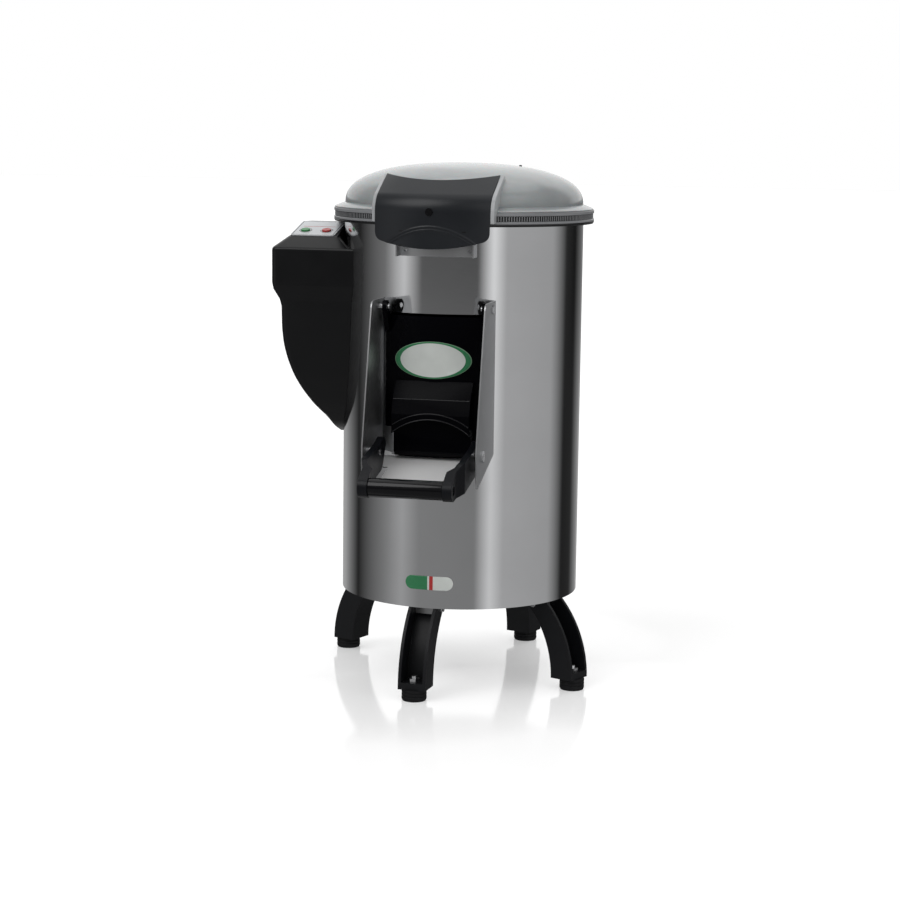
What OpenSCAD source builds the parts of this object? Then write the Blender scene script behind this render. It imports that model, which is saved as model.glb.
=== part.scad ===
// Floor-standing electric potato peeler.
// The body axis is Z, the floor is z = 0, the discharge chute faces -Y.
// Azimuths count from the front (-Y) towards +X.

/* [Body] */
// Outer radius of the round shell
body_r = 195; // [185:1:205]
// Thickness of the shell's steel sheet
body_wall = 1.5; // [1:0.1:2.5]
// Height of the shell
body_h = 607; // [590:1:640]
// Height of the shell's lower edge above the floor
leg_h = 141; // [130:1:155]
// Thickness of the plate that closes the shell below
base_t = 3; // [2:0.5:5]
// Width of the folded rim at the shell's upper edge
top_fold = 7; // [4:0.5:10]

/* [Chamber] */
// Height of the chamber floor's upper face above the shell's lower edge
floor_rise = 201; // [195:1:205]
// Thickness of the chamber floor
floor_t = 3; // [2:0.5:5]
// Thickness of the abrasive wall lining
liner_t = 2.5; // [1.5:0.5:4]
// Width of the mouth where peeled potatoes leave
mouth_w = 150; // [135:1:156]
// Height of the mouth
mouth_h = 230; // [215:1:236]
// Height of the mouth's sill above the chamber floor
sill_rise = 38; // [34:1:42]

/* [Disc] */
// Radial gap between the disc and the lining
disc_gap = 5; // [3:0.5:8]
// Height of the disc's underside above the chamber floor
disc_lift = 22; // [20:1:24]
// Thickness of the disc plate
disc_t = 6; // [4:0.5:8]
// Thickness of the abrasive coat
grit_t = 2; // [1:0.5:3]
// Number of raised waves on the disc
wave_count = 3; // [2:1:5]
// Number of waste paddles under the disc
paddle_count = 3; // [2:1:4]

/* [Drive] */
// Radius of the drive shaft
shaft_r = 12.5; // [11:0.5:14]
// Outer radius of the shaft bearings
bearing_r = 26; // [24:0.5:28]
// Width of the shaft bearings
bearing_w = 15; // [12:1:18]
// Outer radius of the bearing housing's barrel
barrel_r = 38; // [34:1:42]
// Length of the bearing housing's barrel
barrel_l = 92; // [80:1:100]
// Outer radius of the big pulley
pulley_big_r = 78; // [70:1:82]
// Outer radius of the motor pulley
pulley_small_r = 26; // [22:1:28]
// Width of both pulleys
pulley_w = 20; // [16:1:24]
// Height of the pulleys' lower face above the base plate
pulley_lift = 22; // [18:1:26]
// Distance between the motor axis and the body axis
motor_offset = 118; // [114:1:122]
// Radius of the motor housing
motor_r = 60; // [52:1:62]
// Length of the motor housing
motor_l = 110; // [90:1:112]
// Radius of the motor shaft
motor_shaft_r = 9.5; // [8:0.5:12]

/* [Legs] */
// Azimuths of the front, right, rear and left legs
leg_azimuths = [-5, 65.5, 161.5, 248.5]; // [-20:0.5:270]
// Distance from the body axis to each foot's centre
foot_reach = 231; // [226:1:234]
// Width of a leg across its channel
leg_w = 46; // [40:1:50]
// Depth of a leg's foot along its radius
leg_d = 40; // [38:1:46]
// Thickness of a leg's side walls
leg_flank = 5; // [4:0.5:8]
// Distance from the body axis to a leg's outer edge at its top
leg_top_reach = 194; // [190:1:196]
// How much further its inner edge leans
leg_flare = 6; // [0:1:10]
// Radius of a foot pad
pad_r = 20; // [17:0.5:22]
// Height of a foot pad
pad_h = 18; // [14:1:22]

/* [Chute] */
// Distance between the outer faces of the two cheeks
chute_w = 181; // [176:1:184]
// Thickness of the chute's sheet
chute_t = 2; // [1.5:0.5:3]
// Slope of the tray
tray_slope = 15; // [12:0.5:18]
// Reach of the tray's front edge from the body axis
tray_reach = 283; // [270:1:290]
// Width of the tray's front part
tray_w = 131; // [124:1:132]
// Reach of the cheeks' lower front corner
cheek_reach = 301; // [292:1:305]

/* [Door] */
// Width of the door panel
door_w = 166; // [160:1:168]
// Thickness of the door panel
door_t = 3; // [2:0.5:4]
// Furthest reach of the door's finger pocket
pocket_reach = 228; // [222:1:232]
// Width of the finger pocket's block
pocket_w = 124; // [116:1:124]

/* [Lever] */
// Reach of the lever's pivot from the body axis
pivot_reach = 262; // [258:1:266]
// Height of the lever's pivot above the sill
pivot_rise = 19; // [16:1:24]
// Reach of the grip bar
bar_reach = 376; // [368:1:380]
// Depth of the grip bar under the pivot
bar_drop = 36; // [32:1:40]
// Radius of the grip bar
bar_r = 14.5; // [12:0.5:15]
// Thickness of each lever arm at its pivot
arm_t = 10; // [9:0.5:12]
// Thickness of each lever arm at the grip bar
boss_t = 15; // [13:1:18]
// Gap between a lever arm and its cheek
arm_gap = 8; // [6:0.5:9]

/* [Lid] */
// Radius of the lid's rim
rim_r = 212; // [205:1:218]
// Height of the lid's rim
rim_h = 22; // [18:1:26]
// Radius of the dome at its foot
dome_r = 194; // [185:1:198]
// Height of the dome over the rim
dome_h = 65; // [55:1:75]
// Thickness of the dome
dome_t = 3; // [2:0.5:4]
// Height of the lid's hinge axis above the shell's upper edge
lid_hinge_rise = 14; // [12:1:18]
// Reach of the lid's hinge axis behind the body axis
lid_hinge_reach = 232; // [228:1:238]
// Width of the lid's front handle
handle_w = 183; // [176:1:190]
// Turn of the handle about the body axis
handle_turn = -1.2; // [-3:0.2:3]
// Reach of the lid's front handle
handle_reach = 229; // [226:1:234]
// How far the handle hangs below the rim
handle_drop = 36; // [30:1:40]
// Thickness of the handle's plate
handle_t = 4; // [3:0.5:5]

/* [Control box] */
// Reach of the box's outer side from the body axis
box_reach = 291; // [284:1:298]
// Reach of the box's front face before the body axis
box_front = 119; // [112:1:124]
// Reach of the box's back behind the body axis
box_back = 18; // [12:1:26]
// Depth of the box's shoulder under the shell's upper edge
box_shoulder = 46; // [42:1:50]
// Thickness of the box's walls
box_wall = 3; // [2:0.5:4]
// Radius of the push buttons
button_r = 7.5; // [6:0.5:9]
// Travel of the push buttons
button_travel = 2; // [1:0.5:3]

/* [Pipes] */
// Radius of the water inlet's thread
inlet_r = 13.2; // [10:0.1:15]
// Radius of the drain pipe
drain_r = 20; // [16:0.5:22]
// Thickness of the pipes' walls
pipe_wall = 2.5; // [2:0.1:3]

/* [Hidden] */
$fn = 96;
seat = 0.2;          // gap between seated curved faces of one body
air = 0.3;           // gap between neighbouring faces of two bodies
running = 0.05;      // radial clearance of a turning fit
hole_play = 0.25;    // radial clearance of a bolt in its hole
bite = 0.02;         // how far joined outlines reach into each other

body_in_r = body_r - body_wall;
body_z0 = leg_h;
body_z1 = leg_h + body_h;
base_top = body_z0 + base_t;
floor_z = body_z0 + floor_rise;
floor_low = floor_z - floor_t;
sill_z = floor_z + sill_rise;
mouth_top = sill_z + mouth_h;
liner_r = body_in_r - seat;
liner_in_r = liner_r - liner_t;
liner_top = body_z1 - 8;
disc_r = liner_in_r - disc_gap;
disc_z0 = floor_z + disc_lift;
disc_z1 = disc_z0 + disc_t;
wave_h = 7;
hub_r = 24;
hub_gap = 9;
paddle_h = disc_lift - 6;

// Shaft, bearings and pulleys
pulley_z0 = base_top + pulley_lift;
pulley_z1 = pulley_z0 + pulley_w;
shaft_z0 = pulley_z0 - 12;
shaft_z1 = disc_z1;
barrel_z1 = floor_z;
barrel_z0 = barrel_z1 - barrel_l;
seal_h = 6;
upper_bearing_z = barrel_z1 - seal_h - 2 - bearing_w;
lower_bearing_z = barrel_z0 + 3;
flange_r = 62;
flange_t = 6;
flange_bolt_reach = 51;
groove_w = 11;
groove_depth = 9;
belt_w = groove_w - 2 * air;
belt_t = 8;
belt_big_r = pulley_big_r - groove_depth + air;
belt_small_r = pulley_small_r - groove_depth + air;
bracket_t = 5;
bracket_z0 = pulley_z1 + 5;
bracket_z1 = bracket_z0 + bracket_t;
motor_z0 = bracket_z1;
motor_z1 = motor_z0 + motor_l;
motor_flange_t = 8;
fan_cover_h = 22;
fan_cover_t = 1.5;
post_r = 6;
post_x = 72;
post_y = [motor_offset - 48, motor_offset + 36];
rotor_z0 = pulley_z0 - 4;
rotor_z1 = motor_z1 + 14;
m_bolt_reach = 49;

// Legs
leg_foot_z = pad_h;
leg_block_h = 11;
leg_arc_h = leg_h - leg_foot_z;
leg_set = 6;
leg_outer = foot_reach + leg_d / 2 - leg_set;
leg_lean = leg_outer - leg_top_reach;
leg_web = 7;
lug_z0 = leg_h - 14;
lug_inset = 19;
leg_bolt_z = leg_h - 6;
leg_bolt_r = 3;
leg_bolt_reach = body_in_r - 26;
washer_t = 1.5;
bolt_head_h = 3;
stud_r = 5;
nut_h = 6;

// Chute, door and lever
cheek_x = chute_w / 2 - chute_t / 2;
cheek_in = chute_w / 2 - chute_t;
cheek_top = mouth_top + 22;
arm_out = cheek_in - arm_gap;
arm_in = arm_out - arm_t;
boss_out = arm_out - 8;
boss_in = boss_out - boss_t;
door_lap = 6;
door_low = arm_in - 4.5;
mouth_low = door_low - door_lap;
notch_z = sill_z + 56;
door_notch_z = notch_z - door_lap;
hinge_reach = body_r + 5;
hinge_z = mouth_top + 10;
door_r = body_r + 2.4;
door_z0 = sill_z + 5;
door_z1 = mouth_top - 4;
seal_w = 6;
lug_t = 7;
lug_x = door_w / 2 - lug_t / 2;
lug_r = 10;
hinge_bolt_r = 4;
pocket_top = door_z0 + 120;
pocket_crease = door_z0 + 93;
pocket_lip = door_z0 + 70;
pocket_arch_r = 96;
pocket_arch_z = pocket_lip - 8 - pocket_arch_r;
badge_z = (sill_z + mouth_top) / 2 + 42;
badge_half_w = 63;
badge_half_h = 28;
badge_t = 1.5;
pivot_z = sill_z + pivot_rise;
bar_z = pivot_z - bar_drop;
arm_heel = [pivot_reach - 22, pivot_z + 9];
arm_heel_r = 12;
arm_back = [pivot_reach, pivot_z - 9];
arm_back_r = 22;
arm_belly = [bar_reach - 42, bar_z + 14];
arm_belly_r = 23;
recess_r = 7.5;
recess_depth = 4;
screw_r = 4;
screw_bite = 20;
pivot_bolt_r = 5;
boss_r = bar_r + 1.5;
collar_r = 8;
tray_t = 2;
tray_rear = body_in_r - 4;
tray_step = pivot_reach - 28;

// Pipes
pipe_step = 1;
inlet_drop = 58;
inlet_flange_r = inlet_r + 6;
inlet_flange_t = 4;
inlet_flange_reach = body_r + 1;
inlet_thread_l = 30;
inlet_inner_reach = liner_in_r - 12;
drain_x = 112;
drain_y = 60;
drain_drop = 60;
drain_end = body_r + 43;
drain_neck_r = drain_r - pipe_step;
drain_bore_r = drain_neck_r - pipe_wall;
spigot_l = 50;

// Lid
rim_z0 = body_z1;
rim_z1 = rim_z0 + rim_h;
dome_z0 = rim_z1 + 6;
lid_top = dome_z0 + dome_h;
dome_power = 2.37;
rim_in_r = body_r + 3;
gasket_in_r = body_r - top_fold + 1;
lid_hinge_z = body_z1 + lid_hinge_rise;
hinge_arm_w = 14;
hinge_arm_x = 60;
hinge_arm_t = 8;
hinge_ear_t = 5;
hinge_ear_gap = hinge_arm_w / 2 + hinge_ear_t / 2 + 1;
hinge_plate_t = 2;
hinge_plate_w = 2 * (hinge_arm_x + hinge_ear_gap + 7);
hinge_plate_drop = 70;
hinge_plate_h = 62;
arm_slope = atan(8 / 30);
pin_r = 4;
eye_r = 8;
handle_z0 = rim_z0 - handle_drop;
handle_top_r = 168;
handle_edge_z = rim_z1 + 45.5;
handle_corner = 9;
handle_arch_r = 300;
handle_boss_w = 8;
handle_boss_x = handle_w / 2 - 2;
catch_x = 62;
catch_z0 = handle_z0 - 13;
catch_h = 44;
catch_reach = body_r + 15;
catch_t = 2;

// Control box
box_top = body_z1 - 7;
panel_slope = 14.5;
panel_w = box_reach - body_r - 22;
panel_l = 78;
panel_t = 1.2;
panel_front = box_front - 31;
panel_x = -(box_reach - 21 - panel_w / 2);
box_in_x = body_r - 55;
box_neck_x = body_r - 1;
shoulder_z = body_z1 - box_shoulder;
box_waist_z = shoulder_z - 60;
box_tip_z = shoulder_z - 305;
button_h = 9;
button_x = panel_w * 0.24;
button_y = panel_l / 3;
block_w = panel_w - 14;
block_l = 28;
block_depth = 26;
block_y = 12;
gland_x = -(box_reach - 50);
gland_r = 8;
gland_nut_r = 12;
gland_nut_h = 6;
gland_l = 26;
cord_r = 4.5;
gland_z = box_waist_z + 22;

// The lever arm's outline lies on circles joined by straight tangents.
function polar(c, r, a) = [c[0] + r * cos(a), c[1] + r * sin(a)];
function arc(c, r, a0, a1, n) = [for (i = [0:n]) polar(c, r, a0 + (a1 - a0) * i / n)];
function dome_point(r, h, a) = [r * pow(cos(a), 2 / dome_power), h * pow(sin(a), 2 / dome_power)];
function tray_z(f) = sill_z + seat + tray_t - (f - body_r - 1) * tan(tray_slope);

// A plate that stands in the fore-and-aft plane: 2D x becomes -Y, 2D y becomes Z.
module side_plate(x, t) {
    translate([x, 0, 0]) rotate([90, 0, -90]) linear_extrude(t, center = true) children();
}

// Two circles with their outer tangents.
module link(c1, r1, c2, r2) {
    d = norm(c2 - c1);
    a = atan2(c2[1] - c1[1], c2[0] - c1[0]);
    b = acos((r1 - r2) / d);
    translate(c1) circle(r1);
    translate(c2) circle(r2);
    polygon([polar(c1, r1 - bite, a + b), polar(c2, r2 - bite, a + b),
             polar(c2, r2 - bite, a - b), polar(c1, r1 - bite, a - b)]);
}

module tube(r_out, r_in, h) {
    difference() {
        cylinder(r = r_out, h = h);
        translate([0, 0, -1]) cylinder(r = r_in, h = h + 2);
    }
}

// A cylinder along X that starts at x.
module rod_x(x, l, r, facets = $fn) {
    translate([x, 0, 0]) rotate([0, 90, 0]) cylinder(r = r, h = l, $fn = facets);
}

// A bolt along X: head outside at x, shank towards the body axis.
module cross_bolt(side, x_head, x_end, r) {
    head = r * 0.7;
    mirror([side < 0 ? 1 : 0, 0, 0]) {
        rod_x(x_end, x_head - x_end, r);
        rod_x(x_head, head, r * 1.8, 6);
    }
}

// Copies children at each leg, turned so that -Y points outwards.
module at_legs() {
    for (a = leg_azimuths) rotate([0, 0, a]) children();
}

// ---- Body -------------------------------------------------------------------

// Outline of the mouth or the door: narrower below z_step, where the lever's arms pass.
module stepped_cut(half_w, low_half_w, z0, z_step, z1) {
    translate([-half_w, -body_r - 60, z_step]) cube([2 * half_w, body_r, z1 - z_step]);
    translate([-low_half_w, -body_r - 60, z0]) cube([2 * low_half_w, body_r, z1 - z0]);
}

module mouth_cut(grow) {
    stepped_cut(mouth_w / 2 + grow, mouth_low + grow, sill_z - grow, notch_z - grow, mouth_top + grow);
}

module inlet_place() {
    rotate([0, 0, 150]) translate([0, 0, body_z1 - inlet_drop]) rotate([90, 0, 0]) children();
}

module drain_place() {
    translate([-drain_x, 0, floor_z - drain_drop]) rotate([-90, 0, 0]) children();
}

module body_shell() {
    color("silver") difference() {
        union() {
            translate([0, 0, body_z0]) tube(body_r, body_in_r, body_h);
            translate([0, 0, body_z1 - body_wall])
                tube(body_in_r + 0.5, body_r - top_fold, body_wall);
        }
        mouth_cut(0);
        inlet_place() cylinder(r = inlet_r - pipe_step + hole_play, h = body_r + 10);
        drain_place() cylinder(r = drain_neck_r + hole_play, h = body_r + 10);
    }
}

module base_plate() {
    color("gray") difference() {
        union() {
            translate([0, 0, body_z0]) cylinder(r = body_in_r - seat, h = base_t);
            at_legs() leg_lug();
        }
        at_legs() translate([0, -leg_bolt_reach, leg_bolt_z])
            rod_x(-leg_w, 2 * leg_w, leg_bolt_r + hole_play);
        for (a = [0:30:330]) rotate([0, 0, a])
            translate([55, -3, body_z0 - 1]) cube([45, 6, base_t + 2]);
    }
}

module chamber_floor() {
    color("silver") difference() {
        translate([0, 0, floor_low]) cylinder(r = body_in_r - seat, h = floor_t);
        translate([0, 0, floor_low - 1]) cylinder(r = barrel_r + hole_play, h = floor_t + 2);
        translate([-drain_x, drain_y, floor_low - 1]) cylinder(r = drain_bore_r, h = floor_t + 2);
        for (a = [45:90:315]) rotate([0, 0, a]) translate([flange_bolt_reach, 0, floor_low - 1])
            cylinder(r = 3 + hole_play, h = floor_t + 2);
    }
}

module chamber_liner() {
    color("dimgray") difference() {
        translate([0, 0, floor_z]) tube(liner_r, liner_in_r, liner_top - floor_z);
        mouth_cut(2);
        inlet_place() cylinder(r = inlet_r - pipe_step + hole_play, h = body_r + 10);
    }
}

// ---- Legs -------------------------------------------------------------------

// Radius of the arc that rises leg_arc_h and leans in by the given amount.
function lean_arc(lean) = (leg_arc_h * leg_arc_h + lean * lean) / (2 * lean);

// Side outline of a leg between an outer and an inner arc, both upright at the foot.
module leg_band(outer, inner, extra = 0) {
    r_out = lean_arc(leg_lean);
    r_in = lean_arc(leg_lean + leg_flare);
    intersection() {
        difference() {
            translate([outer - r_out, leg_foot_z]) circle(r_out, $fn = 180);
            translate([inner - r_in, leg_foot_z]) circle(r_in, $fn = 180);
        }
        translate([60, leg_foot_z]) square([400, leg_arc_h + extra]);
    }
}

// The base plate's lug, which fills the top of a leg's channel.
module leg_lug() {
    intersection() {
        side_plate(0, leg_w - 2 * leg_flank - 2 * seat)
            leg_band(leg_outer - seat, leg_outer - leg_d + leg_web + seat, base_t / 2);
        translate([0, 0, lug_z0]) cylinder(r = body_in_r - lug_inset, h = 2 * (body_z0 - lug_z0));
    }
}

module leg(azimuth) {
    color("#222326") rotate([0, 0, azimuth]) difference() {
        side_plate(0, leg_w) leg_band(leg_outer, leg_outer - leg_d);
        difference() {
            side_plate(0, leg_w - 2 * leg_flank) leg_band(leg_outer + 1, leg_outer - leg_d + leg_web);
            translate([-leg_w, -leg_outer - 5, 0])
                cube([2 * leg_w, leg_w * 2, leg_foot_z + leg_block_h]);
        }
        translate([0, -leg_bolt_reach, leg_bolt_z])
            rod_x(-leg_w, 2 * leg_w, leg_bolt_r + hole_play);
        translate([0, -foot_reach, 0]) cylinder(r = stud_r + hole_play, h = leg_foot_z + leg_block_h + 1);
    }
}

module front_leg() { leg(leg_azimuths[0]); }
module right_leg() { leg(leg_azimuths[1]); }
module rear_leg() { leg(leg_azimuths[2]); }
module left_leg() { leg(leg_azimuths[3]); }

module leg_bolts() {
    color("lightgray") at_legs() translate([0, -leg_bolt_reach, leg_bolt_z]) {
        rod_x(-leg_w / 2 - washer_t, leg_w + 2 * washer_t, leg_bolt_r);
        for (s = [0, 1]) mirror([s, 0, 0]) {
            rod_x(leg_w / 2, washer_t, leg_bolt_r * 1.8);
            rod_x(leg_w / 2 + washer_t, bolt_head_h, leg_bolt_r * 1.5, 6);
        }
    }
}

module foot_pads() {
    color("#18181a") at_legs() translate([0, -foot_reach, 0]) {
        cylinder(r1 = pad_r - 1.5, r2 = pad_r, h = 3);
        translate([0, 0, 3]) cylinder(r = pad_r, h = pad_h - 3);
    }
}

module foot_studs() {
    color("lightgray") at_legs() translate([0, -foot_reach, pad_h])
        cylinder(r = stud_r, h = leg_block_h + nut_h + 4);
}

module foot_nuts() {
    color("lightgray") at_legs() translate([0, -foot_reach, leg_foot_z + leg_block_h]) difference() {
        cylinder(r = stud_r * 1.8, h = nut_h, $fn = 6);
        translate([0, 0, -1]) cylinder(r = stud_r + hole_play, h = nut_h + 2);
    }
}

// ---- Bearings and shaft -----------------------------------------------------

module bearing_housing() {
    color("slategray") difference() {
        union() {
            translate([0, 0, barrel_z0]) cylinder(r = barrel_r, h = barrel_l);
            translate([0, 0, floor_low - flange_t]) cylinder(r = flange_r, h = flange_t);
        }
        translate([0, 0, barrel_z0 - 1]) cylinder(r = bearing_r - 4, h = barrel_l + 2);
        translate([0, 0, lower_bearing_z]) cylinder(r = bearing_r + 0.02, h = bearing_w);
        translate([0, 0, barrel_z0 - 1]) cylinder(r = bearing_r + 0.02, h = lower_bearing_z - barrel_z0 + 2);
        translate([0, 0, upper_bearing_z]) cylinder(r = bearing_r + 0.02, h = barrel_l);
        for (a = [45:90:315]) rotate([0, 0, a]) translate([flange_bolt_reach, 0, floor_low - flange_t - 1])
            cylinder(r = 3 + hole_play, h = flange_t + 2);
    }
}

module shaft_bearings() {
    color("lightsteelblue") for (z = [lower_bearing_z, upper_bearing_z])
        translate([0, 0, z]) tube(bearing_r, shaft_r + running, bearing_w);
}

module shaft_seal() {
    color("#202020") translate([0, 0, barrel_z1 - seal_h]) tube(bearing_r, shaft_r + running, seal_h);
}

module housing_bolts() {
    color("lightgray") for (a = [45:90:315]) rotate([0, 0, a]) translate([flange_bolt_reach, 0, 0]) {
        translate([0, 0, floor_low - flange_t - 4]) cylinder(r = 3, h = floor_t + flange_t + 4);
        translate([0, 0, floor_z]) cylinder(r = 5.5, h = 3);
        translate([0, 0, floor_low - flange_t - 4]) cylinder(r = 5.5, h = 4, $fn = 6);
    }
}

module drive_shaft() {
    color("lightgray") {
        translate([0, 0, shaft_z0]) cylinder(r = shaft_r, h = shaft_z1 - shaft_z0);
        translate([0, 0, shaft_z1]) cylinder(r = 6, h = grit_t + 12);
    }
}

// ---- Disc -------------------------------------------------------------------

// One raised wave: a round-backed bar along a radius.
module wave(lift) {
    translate([hub_r + 14, 0, disc_z1 - 7 + lift]) rotate([0, 90, 0])
        cylinder(r = wave_h + 7, h = disc_r - hub_r - 26);
}

module disc_plate() {
    color("silver") difference() {
        union() {
            translate([0, 0, disc_z0]) cylinder(r = disc_r, h = disc_t);
            translate([0, 0, floor_z + hub_gap]) cylinder(r = hub_r, h = disc_lift - hub_gap + 1);
            for (k = [0:paddle_count - 1]) rotate([0, 0, k * 360 / paddle_count + 30])
                translate([hub_r - 3, -4, disc_z0 - paddle_h])
                cube([disc_r - hub_r - 4, 8, paddle_h + 1]);
        }
        translate([0, 0, floor_z]) cylinder(r = shaft_r + 0.02, h = disc_lift + disc_t + 1);
    }
}

module grit_coat() {
    color("#5a5652") difference() {
        union() {
            translate([0, 0, disc_z1]) cylinder(r = disc_r, h = grit_t);
            for (k = [0:wave_count - 1]) rotate([0, 0, k * 360 / wave_count]) wave(0);
        }
        translate([0, 0, disc_z1 - 40]) cylinder(r = disc_r + 10, h = 40);
        translate([0, 0, disc_z1 - 1]) cylinder(r = hub_r, h = 20);
    }
}

module disc_knob() {
    color("silver") difference() {
        union() {
            translate([0, 0, disc_z1]) cylinder(r = hub_r - 1, h = grit_t + 3);
            translate([0, 0, disc_z1 + grit_t + 3]) cylinder(r1 = 16, r2 = 11, h = 16);
        }
        translate([0, 0, disc_z1 - 1]) cylinder(r = 6.02, h = grit_t + 14);
    }
}

// ---- Belt drive -------------------------------------------------------------

module grooved_pulley(r, bore) {
    difference() {
        cylinder(r = r, h = pulley_w);
        translate([0, 0, (pulley_w - groove_w) / 2]) tube(r + 1, r - groove_depth, groove_w);
        translate([0, 0, -1]) cylinder(r = bore, h = pulley_w + 2);
    }
}

module driven_pulley() {
    color("darkgray") translate([0, 0, pulley_z0]) difference() {
        grooved_pulley(pulley_big_r, shaft_r + 0.02);
        for (a = [0:60:300]) rotate([0, 0, a]) translate([(pulley_big_r - 10 + 26) / 2, 0, -1])
            cylinder(r = 13, h = pulley_w + 2);
    }
}

module shaft_nut() {
    color("lightgray") translate([0, 0, shaft_z0]) difference() {
        cylinder(r = shaft_r + 8, h = 11, $fn = 6);
        translate([0, 0, -1]) cylinder(r = shaft_r + 0.02, h = 13);
    }
}

// Two arcs around the pulleys, joined by the straight spans that touch both.
module belt_outline(r_big, r_small) {
    wrap = acos((r_big - r_small) / motor_offset);
    polygon(concat(arc([0, 0], r_big, 90 + wrap, 450 - wrap, 48),
                   arc([0, motor_offset], r_small, 90 - wrap, 90 + wrap, 16)));
}

module drive_belt() {
    color("#1c1c1c") translate([0, 0, pulley_z0 + (pulley_w - belt_w) / 2]) difference() {
        linear_extrude(belt_w) belt_outline(belt_big_r + belt_t, belt_small_r + belt_t);
        translate([0, 0, -1]) linear_extrude(belt_w + 2) belt_outline(belt_big_r, belt_small_r);
    }
}

module at_motor() {
    translate([0, motor_offset, 0]) children();
}

module motor_bracket() {
    color("gray") difference() {
        intersection() {
            translate([-post_x - 12, post_y[0] - 12, bracket_z0])
                cube([2 * post_x + 24, 160, bracket_t]);
            cylinder(r = body_in_r - 3, h = body_z1);
        }
        at_motor() translate([0, 0, bracket_z0 - 1]) cylinder(r = 30, h = bracket_t + 2);
        at_motor() for (a = [45:90:315]) rotate([0, 0, a])
            translate([m_bolt_reach, 0, bracket_z0 - 1]) cylinder(r = 3 + hole_play, h = bracket_t + 2);
        for (x = [-post_x, post_x], y = post_y) translate([x, y, bracket_z0 - 1])
            cylinder(r = 4 + hole_play, h = bracket_t + 2);
    }
}

module bracket_posts() {
    color("lightgray") for (x = [-post_x, post_x], y = post_y) translate([x, y, 0]) {
        translate([0, 0, bracket_z1]) cylinder(r = post_r, h = floor_low - bracket_z1);
        translate([0, 0, bracket_z0 - 3]) cylinder(r = 4, h = bracket_t + 4);
        translate([0, 0, bracket_z0 - 3]) cylinder(r = 6.5, h = 3, $fn = 6);
    }
}

module motor_housing() {
    color("#47525c") at_motor() difference() {
        union() {
            translate([0, 0, motor_z0]) cylinder(r = motor_r - 4, h = motor_l);
            translate([0, 0, motor_z0]) cylinder(r = motor_r, h = motor_flange_t);
            for (a = [0:20:340]) rotate([0, 0, a])
                translate([motor_r - 6, -1.5, motor_z0]) cube([6, 3, motor_l - 6]);
        }
        translate([0, 0, motor_z0 - 1]) cylinder(r = motor_shaft_r + running, h = motor_l + 2);
        for (a = [45:90:315]) rotate([0, 0, a])
            translate([m_bolt_reach, 0, motor_z0 - 1]) cylinder(r = 3 + hole_play, h = motor_flange_t + 7);
    }
}

module motor_bolts() {
    color("lightgray") at_motor() for (a = [45:90:315]) rotate([0, 0, a]) translate([m_bolt_reach, 0, 0]) {
        translate([0, 0, bracket_z0 - 4]) cylinder(r = 3, h = bracket_t + motor_flange_t + 6);
        translate([0, 0, bracket_z0 - 4]) cylinder(r = 5.5, h = 4, $fn = 6);
    }
}

module terminal_box() {
    color("#33383d") translate([motor_r + seat, motor_offset - 24, motor_z0 + 34]) cube([26, 44, 50]);
}

module fan_cover() {
    color("#33383d") at_motor() translate([0, 0, motor_z1]) difference() {
        cylinder(r = motor_r - 4, h = fan_cover_h);
        translate([0, 0, -1]) cylinder(r = motor_r - 4 - fan_cover_t, h = fan_cover_h + 1 - fan_cover_t);
        for (a = [0:30:330]) rotate([0, 0, a]) translate([16, -2.5, fan_cover_h - 5]) cube([28, 5, 10]);
    }
}

module cooling_fan() {
    color("#101214") at_motor() translate([0, 0, motor_z1 + 3]) difference() {
        union() {
            cylinder(r = 18, h = 11);
            for (a = [0:45:315]) rotate([0, 0, a]) translate([14, -1.2, 0]) cube([34, 2.4, 11]);
        }
        translate([0, 0, -1]) cylinder(r = motor_shaft_r + 0.02, h = 14);
    }
}

module motor_shaft() {
    color("lightgray") at_motor() translate([0, 0, rotor_z0])
        cylinder(r = motor_shaft_r, h = rotor_z1 - rotor_z0);
}

module motor_pulley() {
    color("darkgray") at_motor() translate([0, 0, pulley_z0])
        grooved_pulley(pulley_small_r, motor_shaft_r + 0.02);
}

// ---- Water and waste --------------------------------------------------------

module water_inlet() {
    color("silver") inlet_place() difference() {
        union() {
            translate([0, 0, inlet_inner_reach])
                cylinder(r = inlet_r - pipe_step, h = inlet_flange_reach - inlet_inner_reach + 1);
            translate([0, 0, inlet_flange_reach]) cylinder(r = inlet_flange_r, h = inlet_flange_t, $fn = 6);
            translate([0, 0, inlet_flange_reach + inlet_flange_t]) cylinder(r = inlet_r, h = inlet_thread_l);
        }
        translate([0, 0, inlet_inner_reach - 1]) cylinder(r = inlet_r - pipe_wall, h = body_r);
    }
}

module drain_elbow() {
    translate([-drain_x, drain_y, floor_z - drain_drop]) children();
}

module drain_pipe() {
    color("silver") difference() {
        union() {
            drain_place() translate([0, 0, drain_y]) cylinder(r = drain_neck_r, h = drain_end - drain_y - 1);
            drain_place() translate([0, 0, drain_end - spigot_l]) cylinder(r = drain_r, h = spigot_l);
            drain_elbow() cylinder(r = drain_neck_r, h = drain_drop - floor_t);
            drain_elbow() sphere(r = drain_neck_r);
        }
        drain_place() translate([0, 0, drain_y]) cylinder(r = drain_bore_r, h = drain_end);
        drain_elbow() cylinder(r = drain_bore_r, h = drain_drop + 1);
        drain_elbow() sphere(r = drain_bore_r);
    }
}

// ---- Discharge chute --------------------------------------------------------

module cheek_outline() {
    corner = 13;
    polygon(concat(
        [[150, sill_z + 17], [150, cheek_top]],
        arc([cheek_reach - 49 - corner, cheek_top - corner], corner, 90, 8, 6),
        [[cheek_reach, pivot_z + 14]],
        arc([cheek_reach - 9, bar_z - 2], 8, 0, -110, 5)
    ));
}

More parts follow.
